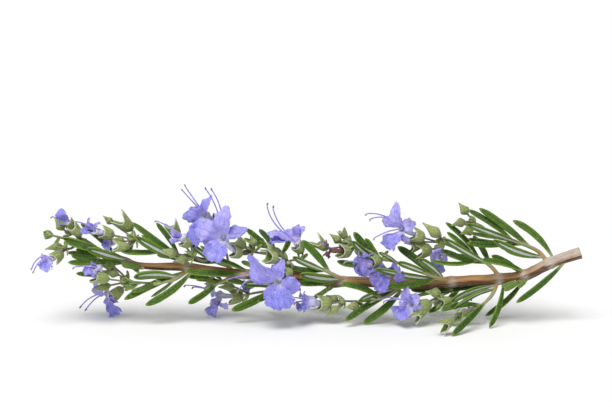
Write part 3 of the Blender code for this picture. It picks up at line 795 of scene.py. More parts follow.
# Young leaves at the tips of the stem and of some shoots: (how many, length).
YOUNG_TIPS = {
    "main_stem": (12, 4.6),
    "side_shoot_04": (6, 6.0),
    "side_shoot_06": (4, 4.0),
    "side_shoot_07": (6, 6.0),
    "side_shoot_10": (6, 5.0),
    "side_shoot_13": (5, 4.5),
    "side_shoot_16": (5, 4.0),
    "side_shoot_12": (6, 5.0),
    "side_shoot_14": (7, 5.5),
}

# Flowers with brown anthers; on the others they are tan.
BROWN_ANTHERS = ("flower_08", "flower_04", "flower_09", "flower_13")

# Calyces, petals and their tubes, in millimetres where they are sizes.
CALYX_SIDES = 40
CALYX_WALL = 0.2
CALYX_RIBS = 13
CALYX_ROWS = 18
CALYX_INNER_ROWS = (0.995, 0.93, 0.85, 0.75, 0.6, 0.42, 0.25)
# (length of the teeth, how far they flare, how far the bell closes)
CALYX_STYLES = {
    "open": (0.32, 0.06, 0.0),
    "lipped": (0.48, 0.35, 0.0),
    "closed": (0.24, -0.06, 0.86),
}
PETAL_ROWS = 24
PETAL_COLUMNS = 17
PETAL_SHEET = 0.14
# A petal's width along it, as shares of its greatest; how much it cups, curls back at its tip
# and ruffles, as shares of its width; how deep its tip is notched; how white its root is; and
# how many degrees of the throat's rim it takes up.
PETALS = {
    "hood": ((0.70, 0.86, 1.0, 0.92, 0.62), 0.16, -0.22, 0.06, 0.03, 0.55, 100),
    "side": ((0.55, 0.78, 1.0, 0.98, 0.75), -0.10, -0.25, 0.10, 0.03, 0.6, 70),
    "lip": ((0.46, 0.56, 0.88, 1.0, 0.92), 0.26, 0.05, 0.08, 0.09, 1.0, 90),
}
# The fixed seed of the petals' creases, which would otherwise change from run to run.
CREASE_SEED = 1795159986
# The share of a petal that lies against the tube, and how deep into it that reaches.
TUBE_SHARE = 0.2
TUBE_LINING = 2.4
TUBE_RINGS = 14
TUBE_SIDES = 24
TUBE_WALL = 0.16
TUBE_FOOT = 0.75
TUBE_INNER_RINGS = 5

# Stamens: the width of a filament at its foot and tip, and the half widths along an anther.
FILAMENT_WIDTHS = (0.72, 0.42)
ANTHER_LENGTH = 1.3
ANTHER_SWELL = (0.08, 0.24, 0.33, 0.30, 0.32, 0.28, 0.18, 0.05)
BROWN = 1.0
TAN = 0.25

# The cut end's face from its middle outwards: (how far it is sunk, share of the half width).
CUT_FACE = ((0.0, 0.12), (0.03, 0.35), (0.05, 0.6), (0.03, 0.8), (0.0, 0.93))
CUT_STEP = 0.002
CUT_RIM = 0.04
# The cut end is as wide as the stem is at this place along X.
CUT_WIDTH_AT = 102.9

# Roughness of each skin, broad and fine: (depth in half widths, waves in a millimetre along
# it, waves across it).
LEAF_RELIEF = ((0.10, 0.35, 0.8), (0.13, 2.3, 1.8))
BARK_RELIEF = ((0.34, 0.10, 1.7), (0.22, 0.45, 6.5))
STALK_RELIEF = ((0.18, 0.5, 1.2), (0.18, 1.6, 3.0))
FILAMENT_RELIEF = ((0.05, 0.5, 1.2), (0.05, 1.6, 3.0))
ANTHER_RELIEF = ((0.3, 0.5, 1.2), (0.3, 1.6, 3.0))

# Down: hairs on a square metre, their length and width in metres, and their greatest lean.
STEM_DOWN = {"Density": 1.6e6, "Length": 0.0005, "Width": 0.00003, "Lean": 1.2}
SHOOT_DOWN = {"Density": 2.2e6, "Length": 0.00035, "Width": 0.000025, "Lean": 1.0}
CALYX_DOWN = {"Density": 6e6, "Length": 0.0005, "Width": 0.000024, "Lean": 0.9}

# The floor, the light and the camera, in metres and degrees.
FLOOR_SIZE = 6.0
SKY_STRENGTH = 0.42
SUN_STRENGTH = 2.4
SUN_SPREAD = 38
SUN_PLACE = (-0.18, -0.42, 0.88)
CAMERA_TARGET = Vector((-1.9, 0, 47)) * MM + BOX_SHIFT * MM
CAMERA_DISTANCE = 0.646
CAMERA_HEIGHT = 11
CAMERA_LENS = 100


# ---------------------------------------------------------------- the skeleton


def point_on(path, share):
    """The point and the direction at a share, from 0 to 1, of a path's length."""
    lengths = [(b - a).length for a, b in zip(path, path[1:])]
    left = share * sum(lengths)
    for a, b, length in zip(path, path[1:], lengths):
        if left <= length or b is path[-1]:
            break
        left -= length
    direction = (b - a).normalized()
    return a + direction * min(left, length), direction


def smooth_path(points, steps):
    """A Catmull-Rom curve through the points, with this many steps between two of them."""
    points = [points[0] * 2 - points[1]] + points + [points[-1] * 2 - points[-2]]
    path = []
    for p0, p1, p2, p3 in zip(points, points[1:], points[2:], points[3:]):
        for step in range(steps):
            t = step / steps
            path.append(
                p1
                + (p2 - p0) * (t / 2)
                + (p0 * 2 - p1 * 5 + p2 * 4 - p3) * (t * t / 2)
                + (p1 * 3 - p0 - p2 * 3 + p3) * (t * t * t / 2)
            )
    return path + [points[-2]]


def bow(start, middle, end, shares):
    """A quadratic curve from start to end that leans towards middle."""
    return [start * (1 - t) ** 2 + middle * (2 * t * (1 - t)) + end * t**2 for t in shares]


def even(count):
    return [i / (count - 1) for i in range(count)]


def smooth(low, high, value):
    """0 below low, 1 above high and an even slope between them."""
    t = min(1.0, max(0.0, (value - low) / (high - low)))
    return t * t * (3 - 2 * t)


def hump(value, centre, width):
    return math.exp(-(((value - centre) / width) ** 2))


def face_normal(direction, turn):
    """The way a blade's green face looks, for a blade that runs along direction."""
    up = (UP - direction * UP.dot(direction)).normalized()
    front = up.cross(direction)
    if front.y > 0:
        front = -front
    angle = math.radians(turn)
    return up * math.cos(angle) + front * math.sin(angle)


def stem_point(x):
    """The point and direction on the main stem's line at this x."""
    line = [Vector(point) for point, _ in STEM]
    for a, b in zip(line, line[1:]):
        if b.x <= x:
            break
    return a.lerp(b, (x - a.x) / (b.x - a.x)), (b - a).normalized()


def stem_width(x):
    for (a, width_a), (b, width_b) in zip(STEM, STEM[1:]):
        if b[0] <= x:
            break
    return width_a + (width_b - width_a) * (x - a[0]) / (b[0] - a[0])


def shoot_path(name):
    x, points, _ = SHOOTS[name]
    return smooth_path([stem_point(x)[0]] + [Vector(point) for point in points], 6)


def flower_stalk_path(name):
    parent, place, points, _ = FLOWER_STALKS[name]
    if parent == "main_stem":
        start = stem_point(place)[0]
    else:
        start = point_on(shoot_path(parent), min(place, 0.98))[0]
    return smooth_path([start] + [Vector(point) for point in points], 6)


# ---------------------------------------------------------------- middle lines that are swept


def heading(line, i):
    """The way that a line runs at one of its points."""
    return (line[min(i + 1, len(line) - 1)] - line[max(i - 1, 0)]).normalized()


def flattened(facing, ahead):
    """The part of facing that is square to ahead, as a direction."""
    return (facing - ahead * facing.dot(ahead)).normalized()


def spine(line, reaches, facing=None, twist=0.0, **marks):
    """The middle line of a stalk, blade or filament with its half widths.

    facing is the way its face looks, and twist the degrees that it turns on the way. A mark is
    one number for the whole line or a list with one for each point.
    """
    run = 0.0
    runs, faces = [], []
    normal = facing or heading(line, 0).orthogonal()
    for i, point in enumerate(line):
        ahead = heading(line, i)
        normal = flattened(normal, ahead)
        turned = Quaternion(ahead, math.radians(twist) * i / len(line))
        faces.append(turned @ normal)
        if i:
            run += (point - line[i - 1]).length
        runs.append(run)
    marks = {
        name: value if isinstance(value, list) else [value] * len(line)
        for name, value in marks.items()
    }
    marks["run"] = runs
    marks["along"] = [each / run for each in runs]
    marks["reach"] = [reach * MM for reach in reaches]
    return {"line": line, "faces": faces, "marks": marks}


def write(mesh, name, values, kind="FLOAT"):
    """A named value, or vector, for each point of a mesh."""
    attribute = mesh.attributes.new(name, kind, "POINT")
    field = "value" if kind == "FLOAT" else "vector"
    attribute.data.foreach_set(field, np.array(values, np.float32).ravel())


def add_object(name, mesh):
    obj = bpy.data.objects.new(name, mesh)
    bpy.context.scene.collection.objects.link(obj)
    return obj


def spine_object(spines):
    """One object of edges from spines. A mark that a spine lacks is 0 on it."""
    points = [point for each in spines for point in each["line"]]
    edges, first = [], 0
    for each in spines:
        count = len(each["line"])
        edges += [(first + i, first + i + 1) for i in range(count - 1)]
        first += count
    mesh = bpy.data.meshes.new("spines")
    mesh.from_pydata([(point + BOX_SHIFT) * MM for point in points], edges, [])
    write(mesh, "facing", [face for each in spines for face in each["faces"]], "FLOAT_VECTOR")
    for name in sorted({name for each in spines for name in each["marks"]}):
        values = [each["marks"].get(name, [0.0] * len(each["line"])) for each in spines]
        write(mesh, name, np.concatenate(values))
    return add_object("spines", mesh)


def section_object(name, points, under=None):
    """A closed outline that is swept along a spine: (towards the face, across) in half widths."""
    mesh = bpy.data.meshes.new(name)
    count = len(points)
    places = [(*point, 0) for point in points]
    mesh.from_pydata(places, [(i, (i + 1) % count) for i in range(count)], [])
    write(mesh, "around", places, "FLOAT_VECTOR")
    write(mesh, "under", under or [0.0] * count)
    obj = add_object(name, mesh)
    obj.hide_render = True
    return obj


def round_section(name, sides, ridges=0, depth=0.0):
    """A round outline with this many low ridges."""
    points = []
    for side in range(sides):
        angle = 2 * math.pi * side / sides
        reach = 1 + depth * math.cos(ridges * angle)
        points.append((reach * math.cos(angle), reach * math.sin(angle)))
    return section_object(name, points)


def leaf_section(name, half_count=13):
    """A rosemary leaf cut across: domed above with a sunk midrib, both margins rolled under,
    and between them a felted channel with the raised midrib."""
    top, bottom, under = [], [], []
    for i in range(half_count):
        across = -math.cos(math.pi * i / (half_count - 1))
        dome = 0.36 * math.sqrt(max(0.0, 1 - across * across)) ** 0.75
        top.append((dome - 0.17 * hump(across, 0, 0.15) * (1 - abs(across)), across * 0.96))
    for i in range(1, 2 * half_count - 2):
        across = math.cos(math.pi * i / (2 * half_count - 2))
        side = abs(across)
        roll = 0.36 * math.sqrt(max(0.0, 1 - ((side - 0.68) / 0.34) ** 2))
        channel = 0.05 + 0.1 * hump(across, 0, 0.1)
        inside = 1 - smooth(0.3, 0.4, side)
        bottom.append((-(roll * (1 - inside) + channel * inside), across * 0.96))
        under.append(inside)
    return section_object(name, top + bottom, [0.0] * len(top) + under)


# ---------------------------------------------------------------- node trees


def give(tree, socket, value):
    """Links a value that is a socket, and sets any other."""
    if isinstance(value, bpy.types.NodeSocket):
        tree.links.new(value, socket)
    else:
        socket.default_value = value


def result(node):
    """The one output of a node that is switched on."""
    return next(output for output in node.outputs if output.enabled)


def add(tree, kind, settings=None, **sockets):
    """A node with its settings and inputs."""
    node = tree.nodes.new(kind)
    for key, value in (settings or {}).items():
        setattr(node, key, value)
    for key, value in sockets.items():
        name = key.replace("_", " ")
        give(tree, next(s for s in node.inputs if s.enabled and s.name == name), value)
    return node


def maths(tree, operation, *values):
    """The result of a Math node."""
    node = add(tree, "ShaderNodeMath", {"operation": operation})
    for socket, value in zip(node.inputs, values):
        give(tree, socket, value)
    return node.outputs[0]


def times(tree, product, *others):
    """The product of a socket and any number of other values."""
    for value in others:
        product = maths(tree, "MULTIPLY", product, value)
    return product


def vector(tree, x, y, z):
    return add(tree, "ShaderNodeCombineXYZ", X=x, Y=y, Z=z).outputs[0]


def grain(tree, place, **settings):
    """Noise at a place: a value about 0.5."""
    return add(tree, "ShaderNodeTexNoise", Vector=place, **settings).outputs["Fac"]


def new_group(name, kind, inputs, outputs):
    """A node group with named sockets, (name, kind, first value), and the sockets inside it."""
    tree = bpy.data.node_groups.new(name, kind)
    for side, sockets in (("INPUT", inputs), ("OUTPUT", outputs)):
        for label, holds, value in sockets:
            holds = "NodeSocket" + holds
            socket = tree.interface.new_socket(label, in_out=side, socket_type=holds)
            if value is not None:
                socket.default_value = value
    given = tree.nodes.new("NodeGroupInput").outputs
    return tree, given, tree.nodes.new("NodeGroupOutput").inputs


# ---------------------------------------------------------------- geometry node trees


GEOMETRY = ("Geometry", "Geometry", None)


def named(tree, name, kind="FLOAT"):
    """A value, or vector, that the mesh carries at each point."""
    return result(add(tree, "GeometryNodeInputNamedAttribute", {"data_type": kind}, Name=name))


def painted(tree, geometry, material):
    """Real geometry in this material."""
    real = add(tree, "GeometryNodeRealizeInstances", Geometry=geometry).outputs[0]
    return add(tree, "GeometryNodeSetMaterial", Geometry=real, Material=material).outputs[0]


def sweep_tree():
    """Sweeps the section along each spine and roughens the skin it makes, broadly and finely."""
    tree, given, out = new_group(
        "swept skin",
        "GeometryNodeTree",
        [
            GEOMETRY,
            ("Section", "Object", None),
            ("Depth", "Float", 0.05),
            ("Lengthwise", "Float", 0.1),
            ("Crosswise", "Float", 2.0),
            ("Fine Depth", "Float", 0.0),
            ("Fine Lengthwise", "Float", 3.0),
            ("Fine Crosswise", "Float", 3.0),
            ("Seed", "Float", 0.0),
            ("Material", "Material", None),
        ],
        [GEOMETRY],
    )
    line = add(tree, "GeometryNodeMeshToCurve", Mesh=given["Geometry"]).outputs[0]
    facing = named(tree, "facing", "FLOAT_VECTOR")
    turned = add(tree, "GeometryNodeSetCurveNormal", {"mode": "FREE"}, Curve=line, Normal=facing)
    outline = add(tree, "GeometryNodeObjectInfo", Object=given["Section"]).outputs["Geometry"]
    skin = add(
        tree,
        "GeometryNodeCurveToMesh",
        Curve=turned.outputs[0],
        Profile_Curve=add(tree, "GeometryNodeMeshToCurve", Mesh=outline).outputs[0],
        Scale=named(tree, "reach"),
        Fill_Caps=True,
    ).outputs[0]
    around = named(tree, "around", "FLOAT_VECTOR")
    around = add(tree, "ShaderNodeSeparateXYZ", Vector=around).outputs
    shift = maths(tree, "MULTIPLY_ADD", named(tree, "chance"), 53.0, given["Seed"])
    for size in ("", "Fine "):
        crosswise = given[size + "Crosswise"]
        place = vector(
            tree,
            times(tree, named(tree, "run"), given[size + "Lengthwise"]),
            maths(tree, "MULTIPLY_ADD", around["Y"], crosswise, shift),
            times(tree, around["X"], crosswise),
        )
        lift = maths(tree, "SUBTRACT", grain(tree, place, Scale=1.0, Detail=2.0), 0.5)
        lift = times(tree, lift, given[size + "Depth"], named(tree, "reach"))
        out_way = tree.nodes.new("GeometryNodeInputNormal").outputs[0]
        offset = add(
            tree, "ShaderNodeVectorMath", {"operation": "SCALE"}, Vector=out_way, Scale=lift
        ).outputs[0]
        skin = add(tree, "GeometryNodeSetPosition", Geometry=skin, Offset=offset).outputs[0]
    smoothed = add(tree, "GeometryNodeSetShadeSmooth", Geometry=skin).outputs[0]
    tree.links.new(painted(tree, smoothed, given["Material"]), out[0])
    return tree


def down_tree():
    """Plants short hairs on a skin, as densely as its downy mark says, and keeps the skin."""
    tree, given, out = new_group(
        "down",
        "GeometryNodeTree",
        [
            GEOMETRY,
            ("Density", "Float", 3e6),
            ("Length", "Float", 0.0004),
            ("Width", "Float", 0.00003),
            ("Lean", "Float", 0.6),
            ("Seed", "Int", 0),
            ("Material", "Material", None),
        ],
        [GEOMETRY],
    )
    seed, lean = given["Seed"], given["Lean"]
    roots = add(
        tree,
        "GeometryNodeDistributePointsOnFaces",
        Mesh=given["Geometry"],
        Density=times(tree, named(tree, "downy"), given["Density"]),
        Seed=seed,
    ).outputs
    hair = add(
        tree,
        "GeometryNodeMeshCone",
        {"fill_type": "NGON"},
        Vertices=3,
        Radius_Top=0.0,
        Radius_Bottom=given["Width"],
        Depth=given["Length"],
    ).outputs["Mesh"]
    least = times(tree, lean, -1.0)
    leaning = add(
        tree,
        "FunctionNodeRandomValue",
        {"data_type": "FLOAT_VECTOR"},
        Min=vector(tree, least, least, least),
        Max=vector(tree, lean, lean, lean),
        Seed=seed,
    ).outputs[0]
    turn = add(
        tree,
        "FunctionNodeRotateRotation",
        {"rotation_space": "LOCAL"},
        Rotation=roots["Rotation"],
        Rotate_By=leaning,
    ).outputs[0]
    hairs = add(
        tree,
        "GeometryNodeInstanceOnPoints",
        Points=roots["Points"],
        Instance=hair,
        Rotation=turn,
        Scale=result(add(tree, "FunctionNodeRandomValue", Min=0.5, Max=1.3, Seed=seed)),
    ).outputs[0]
    both = tree.nodes.new("GeometryNodeJoinGeometry")
    tree.links.new(painted(tree, hairs, given["Material"]), both.inputs[0])
    tree.links.new(given["Geometry"], both.inputs[0])
    tree.links.new(both.outputs[0], out[0])
    return tree


def grown(obj, tree, values):
    """Puts the tree's result in place of obj, as a plain mesh."""
    modifier = obj.modifiers.new(tree.name, "NODES")
    modifier.node_group = tree
    for item in tree.interface.items_tree:
        if item.in_out == "INPUT" and item.name in values:
            modifier[item.identifier] = values[item.name]
    graph = bpy.context.evaluated_depsgraph_get()
    mesh = bpy.data.meshes.new_from_object(
        obj.evaluated_get(graph), preserve_all_data_layers=True, depsgraph=graph
    )
    obj.modifiers.remove(modifier)
    obj.data = mesh
    return obj


# ---------------------------------------------------------------- shader groups and materials


def mixed(tree, factor, first, second):
    """A colour between two, each of them a socket or (red, green, blue)."""
    first, second = (
        each if isinstance(each, bpy.types.NodeSocket) else (*each, 1.0)
        for each in (first, second)
    )
    node = add(tree, "ShaderNodeMix", {"data_type": "RGBA"}, Factor=factor, A=first, B=second)
    return result(node)


def laid(tree, base, colour, *masks):
    """The base with a colour over it, as strongly as the masks' product says."""
    return mixed(tree, times(tree, *masks), base, colour)


def between(tree, value, low, high):
    """0 where value is on low's side and 1 where it is on high's, with a soft change between."""
    return add(
        tree,
        "ShaderNodeMapRange",
        {"interpolation_type": "SMOOTHSTEP"},
        Value=value,
        From_Min=low,
        From_Max=high,
    ).outputs[0]


def mark(tree, name, kind="Fac"):
    """A value, or vector, that the mesh carries at each point."""
    return add(tree, "ShaderNodeAttribute", {"attribute_name": name}).outputs[kind]


def around_spine(tree):
    """A point's place on its section, in half widths: X towards the face and Y across."""
    return add(tree, "ShaderNodeSeparateXYZ", Vector=mark(tree, "around", "Vector")).outputs


def mottle_group():
    """Cloudy unevenness on the piece's own place: a value about 0.5."""
    tree, given, out = new_group(
        "living mottle",
        "ShaderNodeTree",
        [("Scale", "Float", 900.0), ("Contrast", "Float", 1.0)],
        [("Mottle", "Float", None)],
    )
    place = tree.nodes.new("ShaderNodeTexCoord").outputs["Object"]
    cloud = grain(tree, place, Scale=given["Scale"], Detail=4.0, Roughness=0.6)
    centred = maths(tree, "SUBTRACT", cloud, 0.5)
    tree.links.new(maths(tree, "MULTIPLY_ADD", centred, given["Contrast"], 0.5), out["Mottle"])
    return tree


def fibre_group():
    """Streaks that run lengthwise on a swept piece, and wander a little."""
    tree, given, out = new_group(
        "lengthwise fibre",
        "ShaderNodeTree",
        [("Along Scale", "Float", 0.15), ("Around Scale", "Float", 6.0), ("Shift", "Float", 0.0)],
        [("Fibre", "Float", None)],
    )
    around = around_spine(tree)
    shift = maths(tree, "MULTIPLY_ADD", mark(tree, "chance"), 37.0, given["Shift"])
    place = vector(
        tree,
        times(tree, mark(tree, "run"), given["Along Scale"]),
        maths(tree, "MULTIPLY_ADD", around["Y"], given["Around Scale"], shift),
        times(tree, around["X"], given["Around Scale"]),
    )
    tree.links.new(grain(tree, place, Scale=1.0, Detail=4.0, Roughness=0.6), out["Fibre"])
    return tree


def placed(tree, group, **sockets):
    """The value that a shader group gives for these inputs."""
    return add(tree, "ShaderNodeGroup", {"node_tree": group}, **sockets).outputs[0]


def new_material(name, **values):
    """A material with its Principled shader, whose even values are set on its own sockets."""
    material = bpy.data.materials.new(name)
    material.use_nodes = True
    shader = material.node_tree.nodes["Principled BSDF"]
    for key, value in values.items():
        shader.inputs[key.replace("_", " ")].default_value = value
    return material, material.node_tree, shader


def dress(tree, shader, base, height=None, distance=0.0, strength=0.0):
    """Gives a shader its colour, and its relief where there is one."""
    tree.links.new(base, shader.inputs["Base Color"])
    if height is not None:
        bump = add(tree, "ShaderNodeBump", Height=height, Distance=distance, Strength=strength)
        tree.links.new(bump.outputs[0], shader.inputs["Normal"])


def bark_material():
    """Bark painted tan on its upper side and red-brown underneath as painted light and shade, with a
    fissure along the front painted dark as shade in its groove, felted at the nodes.
    """
    material, tree, shader = new_material("rosemary bark", Roughness=0.7, Sheen_Weight=0.12)
    broad = placed(tree, FIBRE, Along_Scale=0.05, Around_Scale=1.6)
    streak = placed(tree, FIBRE, Along_Scale=0.13, Around_Scale=5.0, Shift=3.0)
    fine = placed(tree, FIBRE, Along_Scale=0.35, Around_Scale=15.0, Shift=5.0)
    upward = around_spine(tree)["X"]
    wander = maths(tree, "SUBTRACT", broad, 0.5)
    # Painted light and shade: the upper side is painted tan and the underside red-brown, mixed with
    # a random wander.
    painted_light_and_wander = maths(tree, "MULTIPLY_ADD", wander, 2.4, upward)
    base = mixed(tree, between(tree, painted_light_and_wander, -0.55, 0.35), (0.135, 0.048, 0.020), (0.43, 0.215, 0.07))
    base = laid(tree, base, (0.50, 0.31, 0.13), between(tree, streak, 0.52, 0.68))
    base = laid(tree, base, (0.13, 0.055, 0.03), between(tree, streak, 0.46, 0.34), 0.8)
    felt = between(tree, broad, 0.55, 0.7)
    base = laid(tree, base, (0.52, 0.47, 0.40), felt, 0.45, between(tree, fine, 0.42, 0.6))
    near_cut = between(tree, mark(tree, "run"), 26.0, 8.0)
    above = between(tree, painted_light_and_wander, -0.1, 0.35)
    base = laid(tree, base, (0.56, 0.51, 0.46), near_cut, above, between(tree, fine, 0.36, 0.52))
    # The fissure along the front is painted near black as shade in its groove; the same mask also
    # sinks the relief there.
    split = maths(tree, "MULTIPLY_ADD", wander, 3.0, 0.15)
    split = maths(tree, "ABSOLUTE", maths(tree, "ADD", upward, split))
    shaded_fissure = times(tree, between(tree, split, 0.13, 0.04), 0.85)
    base = laid(tree, base, (0.04, 0.010, 0.008), shaded_fissure)
    young = mixed(tree, streak, (0.20, 0.24, 0.06), (0.50, 0.52, 0.32))
    base = laid(tree, base, young, between(tree, mark(tree, "along"), 0.82, 0.93))
    wool = between(tree, fine, 0.36, 0.56)
    base = laid(tree, base, (0.62, 0.57, 0.49), mark(tree, "wool"), wool)
    core = mark(tree, "core")
    rings = maths(tree, "SINE", times(tree, core, 34.0))
    rings = maths(tree, "MULTIPLY_ADD", rings, 0.5, 0.5)
    wood = mixed(tree, rings, (0.55, 0.33, 0.15), (0.68, 0.47, 0.26))
    wood = laid(tree, wood, (0.72, 0.6, 0.42), between(tree, core, 0.32, 0.2))
    wood = laid(tree, wood, (0.33, 0.14, 0.05), between(tree, core, 0.8, 0.92))
    base = laid(tree, base, wood, mark(tree, "cut"))
    height = maths(tree, "MULTIPLY_ADD", fine, 0.4, streak)
    height = maths(tree, "SUBTRACT", height, times(tree, shaded_fissure, 0.7))
    dress(tree, shader, base, height, 0.0004, 0.9)
    return material


def stalk_material():
    """Green-grey with purple streaks, and tan where a shoot is woody at its foot."""
    material, tree, shader = new_material("green stalk", Roughness=0.7, Sheen_Weight=0.3)
    streak = placed(tree, FIBRE, Along_Scale=0.18, Around_Scale=2.5)
    fine = placed(tree, FIBRE, Along_Scale=0.5, Around_Scale=8.0, Shift=2.0)
    base = mixed(tree, streak, (0.20, 0.22, 0.06), (0.46, 0.45, 0.25))
    tan = mixed(tree, fine, (0.34, 0.15, 0.035), (0.60, 0.38, 0.12))
    foot = between(tree, mark(tree, "along"), 0.5, 0.05)
    base = laid(tree, base, tan, foot, mark(tree, "woody"))
    purple = mixed(tree, fine, (0.05, 0.02, 0.04), (0.24, 0.18, 0.22))
    base = laid(tree, base, purple, between(tree, streak, 0.34, 0.5), mark(tree, "purple"))
    dress(tree, shader, base, fine, 0.00015, 0.7)
    return material


def leaf_material():
    """Dark wrinkled green above with painted shade in the midrib groove, pale edges and tip, and
    white felt in the channel below, with painted shade in the channel beside the felt.
    """
    material, tree, shader = new_material("rosemary leaf", Specular_IOR_Level=0.3)
    along = mark(tree, "along")
    chance = mark(tree, "chance")
    around = around_spine(tree)
    upward = around["X"]
    across = maths(tree, "ABSOLUTE", around["Y"])
    mottle = placed(tree, MOTTLE, Scale=1400.0, Contrast=1.3)
    cloud = placed(tree, MOTTLE, Scale=230.0, Contrast=1.5)
    green = mixed(tree, chance, (0.026, 0.072, 0.004), (0.068, 0.155, 0.010))
    green = laid(tree, green, (0.115, 0.225, 0.018), between(tree, mottle, 0.45, 0.75))
    green = laid(tree, green, (0.19, 0.30, 0.035), between(tree, cloud, 0.55, 0.8), 0.5)
    green = laid(tree, green, (0.34, 0.50, 0.06), between(tree, across, 0.74, 0.95), 0.6)
    # Painted shade in the sunk midrib groove on the upper face.
    groove_shade = between(tree, across, 0.14, 0.03)
    above = between(tree, upward, 0.0, 0.1)
    green = laid(tree, green, (0.010, 0.036, 0.006), groove_shade, above, 0.6)
    green = laid(tree, green, (0.12, 0.23, 0.025), between(tree, upward, 0.02, -0.2), 0.55)
    young = mixed(tree, mottle, (0.22, 0.34, 0.06), (0.45, 0.52, 0.20))
    green = laid(tree, green, young, mark(tree, "young"))
    green = laid(tree, green, (0.30, 0.36, 0.06), between(tree, along, 0.92, 1.0), 0.75)
    green = laid(tree, green, (0.46, 0.48, 0.26), between(tree, along, 0.20, 0.0))
    # Painted shade in the channel under the leaf, between the rolled margins; the felt laid over it
    # below leaves it as dark lines beside the felt and towards the tip.
    green = laid(tree, green, (0.035, 0.07, 0.012), mark(tree, "under"), 0.75)
    channel = maths(tree, "MULTIPLY_ADD", between(tree, along, 1.0, 0.5), 0.16, 0.12)
    channel = between(tree, maths(tree, "SUBTRACT", across, channel), 0.03, -0.02)
    before_tip = between(tree, along, 0.93, 0.84)
    felt = times(tree, channel, before_tip, between(tree, upward, 0.0, -0.03))
    speck = placed(tree, MOTTLE, Scale=5200.0, Contrast=2.2)
    white = mixed(tree, speck, (0.50, 0.50, 0.49), (0.90, 0.89, 0.91))
    white = laid(tree, white, (0.42, 0.46, 0.30), between(tree, across, 0.09, 0.02), 0.6)
    base = laid(tree, green, white, felt)
    wrinkle = vector(
        tree,
        times(tree, mark(tree, "run"), 3.2),
        maths(tree, "MULTIPLY_ADD", around["Y"], 1.6, times(tree, chance, 91.0)),
        upward,
    )
    dress(tree, shader, base, grain(tree, wrinkle, Scale=1.0, Detail=3.0), 0.00036, 0.9)
    shine = mixed(tree, felt, (0.36, 0.36, 0.36), (0.95, 0.95, 0.95))
    tree.links.new(shine, shader.inputs["Roughness"])
    return material


def calyx_material():
    """Downy yellow-green with darker ribs, a purple flush at the foot and a pale rim."""
    material, tree, shader = new_material("rosemary calyx", Roughness=0.7, Sheen_Weight=0.4)
    mottle = placed(tree, MOTTLE, Scale=1500.0, Contrast=1.4)
    blotch = placed(tree, MOTTLE, Scale=420.0, Contrast=2.4)
    base = mixed(tree, mark(tree, "chance"), (0.19, 0.27, 0.045), (0.33, 0.40, 0.12))
    base = laid(tree, base, (0.50, 0.55, 0.27), between(tree, mottle, 0.48, 0.8))
    rib = between(tree, mark(tree, "rib"), 0.45, 0.95)
    base = laid(tree, base, (0.09, 0.11, 0.022), rib, 0.5)
    base = laid(tree, base, (0.13, 0.085, 0.05), between(tree, blotch, 0.62, 0.9), 0.55)
    flush = between(tree, mottle, 0.35, 0.65)
    base = laid(tree, base, (0.11, 0.055, 0.07), mark(tree, "purple"), flush, 0.65)
    base = laid(tree, base, (0.22, 0.36, 0.05), mark(tree, "under"))
    base = laid(tree, base, (0.74, 0.73, 0.62), mark(tree, "edge"))
    dress(tree, shader, base, mottle, 0.0002, 0.7)
    return material


def petal_material():
    """Periwinkle, deeper on the lip, veined, and white with blue spots in the throat."""
    material, tree, shader = new_material(
        "rosemary petal",
        Roughness=0.5,
        Sheen_Weight=0.25,
        Subsurface_Weight=0.25,
        Subsurface_Radius=(0.6, 0.6, 1.0),
        Subsurface_Scale=0.0006,
    )
    along = mark(tree, "along")
    across = mark(tree, "across")
    chance = mark(tree, "chance")
    lip = mark(tree, "lip")
    age = mark(tree, "age")
    mottle = placed(tree, MOTTLE, Scale=700.0, Contrast=1.6)
    base = mixed(tree, chance, (0.33, 0.31, 0.84), (0.47, 0.42, 0.88))
    base = laid(tree, base, (0.20, 0.23, 0.80), lip, 0.45)
    base = laid(tree, base, (0.66, 0.62, 0.95), between(tree, mottle, 0.5, 0.95), 0.8)
    base = laid(tree, base, (0.17, 0.15, 0.68), between(tree, mottle, 0.45, 0.2), 0.6)
    veins = vector(
        tree,
        times(tree, across, 5.5),
        maths(tree, "MULTIPLY_ADD", along, 1.6, times(tree, chance, 31.0)),
        0.0,
    )
    streak = grain(tree, veins, Scale=1.3, Detail=3.0)
    base = laid(tree, base, (0.16, 0.12, 0.60), between(tree, streak, 0.50, 0.40), 0.5)
    throat = between(tree, along, 0.5, 0.1)
    base = laid(tree, base, (0.90, 0.88, 0.97), throat, mark(tree, "pale"), 0.92)
    spots = vector(
        tree,
        times(tree, across, 5.0),
        maths(tree, "MULTIPLY_ADD", along, 11.0, times(tree, chance, 17.0)),
        0.0,
    )
    cells = add(tree, "ShaderNodeTexVoronoi", Vector=spots, Scale=1.0).outputs["Distance"]
    belt = times(tree, between(tree, along, 0.08, 0.2), between(tree, along, 0.75, 0.5))
    spot = between(tree, cells, 0.32, 0.18)
    base = laid(tree, base, (0.13, 0.07, 0.46), spot, belt, lip, 0.8)
    wilted = mixed(tree, between(tree, mottle, 0.35, 0.6), (0.10, 0.06, 0.34), (0.24, 0.20, 0.62))
    base = laid(tree, base, wilted, between(tree, age, 0.0, 0.5))
    rust = between(tree, maths(tree, "MULTIPLY_ADD", age, 0.5, mottle), 0.80, 0.95)
    base = laid(tree, base, (0.42, 0.15, 0.05), rust)
    dry = mixed(tree, mottle, (0.035, 0.012, 0.03), (0.20, 0.07, 0.05))
    base = laid(tree, base, dry, between(tree, age, 0.6, 1.0))
    dress(tree, shader, base, streak, 0.00018, 0.6)
    return material


def filament_material():
    """Violet, deeper towards the tip, with pale specks."""
    material, tree, shader = new_material("violet filament", Roughness=0.5, Sheen_Weight=0.2)
    mottle = placed(tree, MOTTLE, Scale=1300.0, Contrast=1.5)
    base = mixed(tree, mark(tree, "along"), (0.50, 0.45, 0.88), (0.20, 0.14, 0.66))
    base = laid(tree, base, (0.62, 0.58, 0.92), between(tree, mottle, 0.5, 0.9))
    dress(tree, shader, base, mottle, 0.0001, 0.4)
    return material


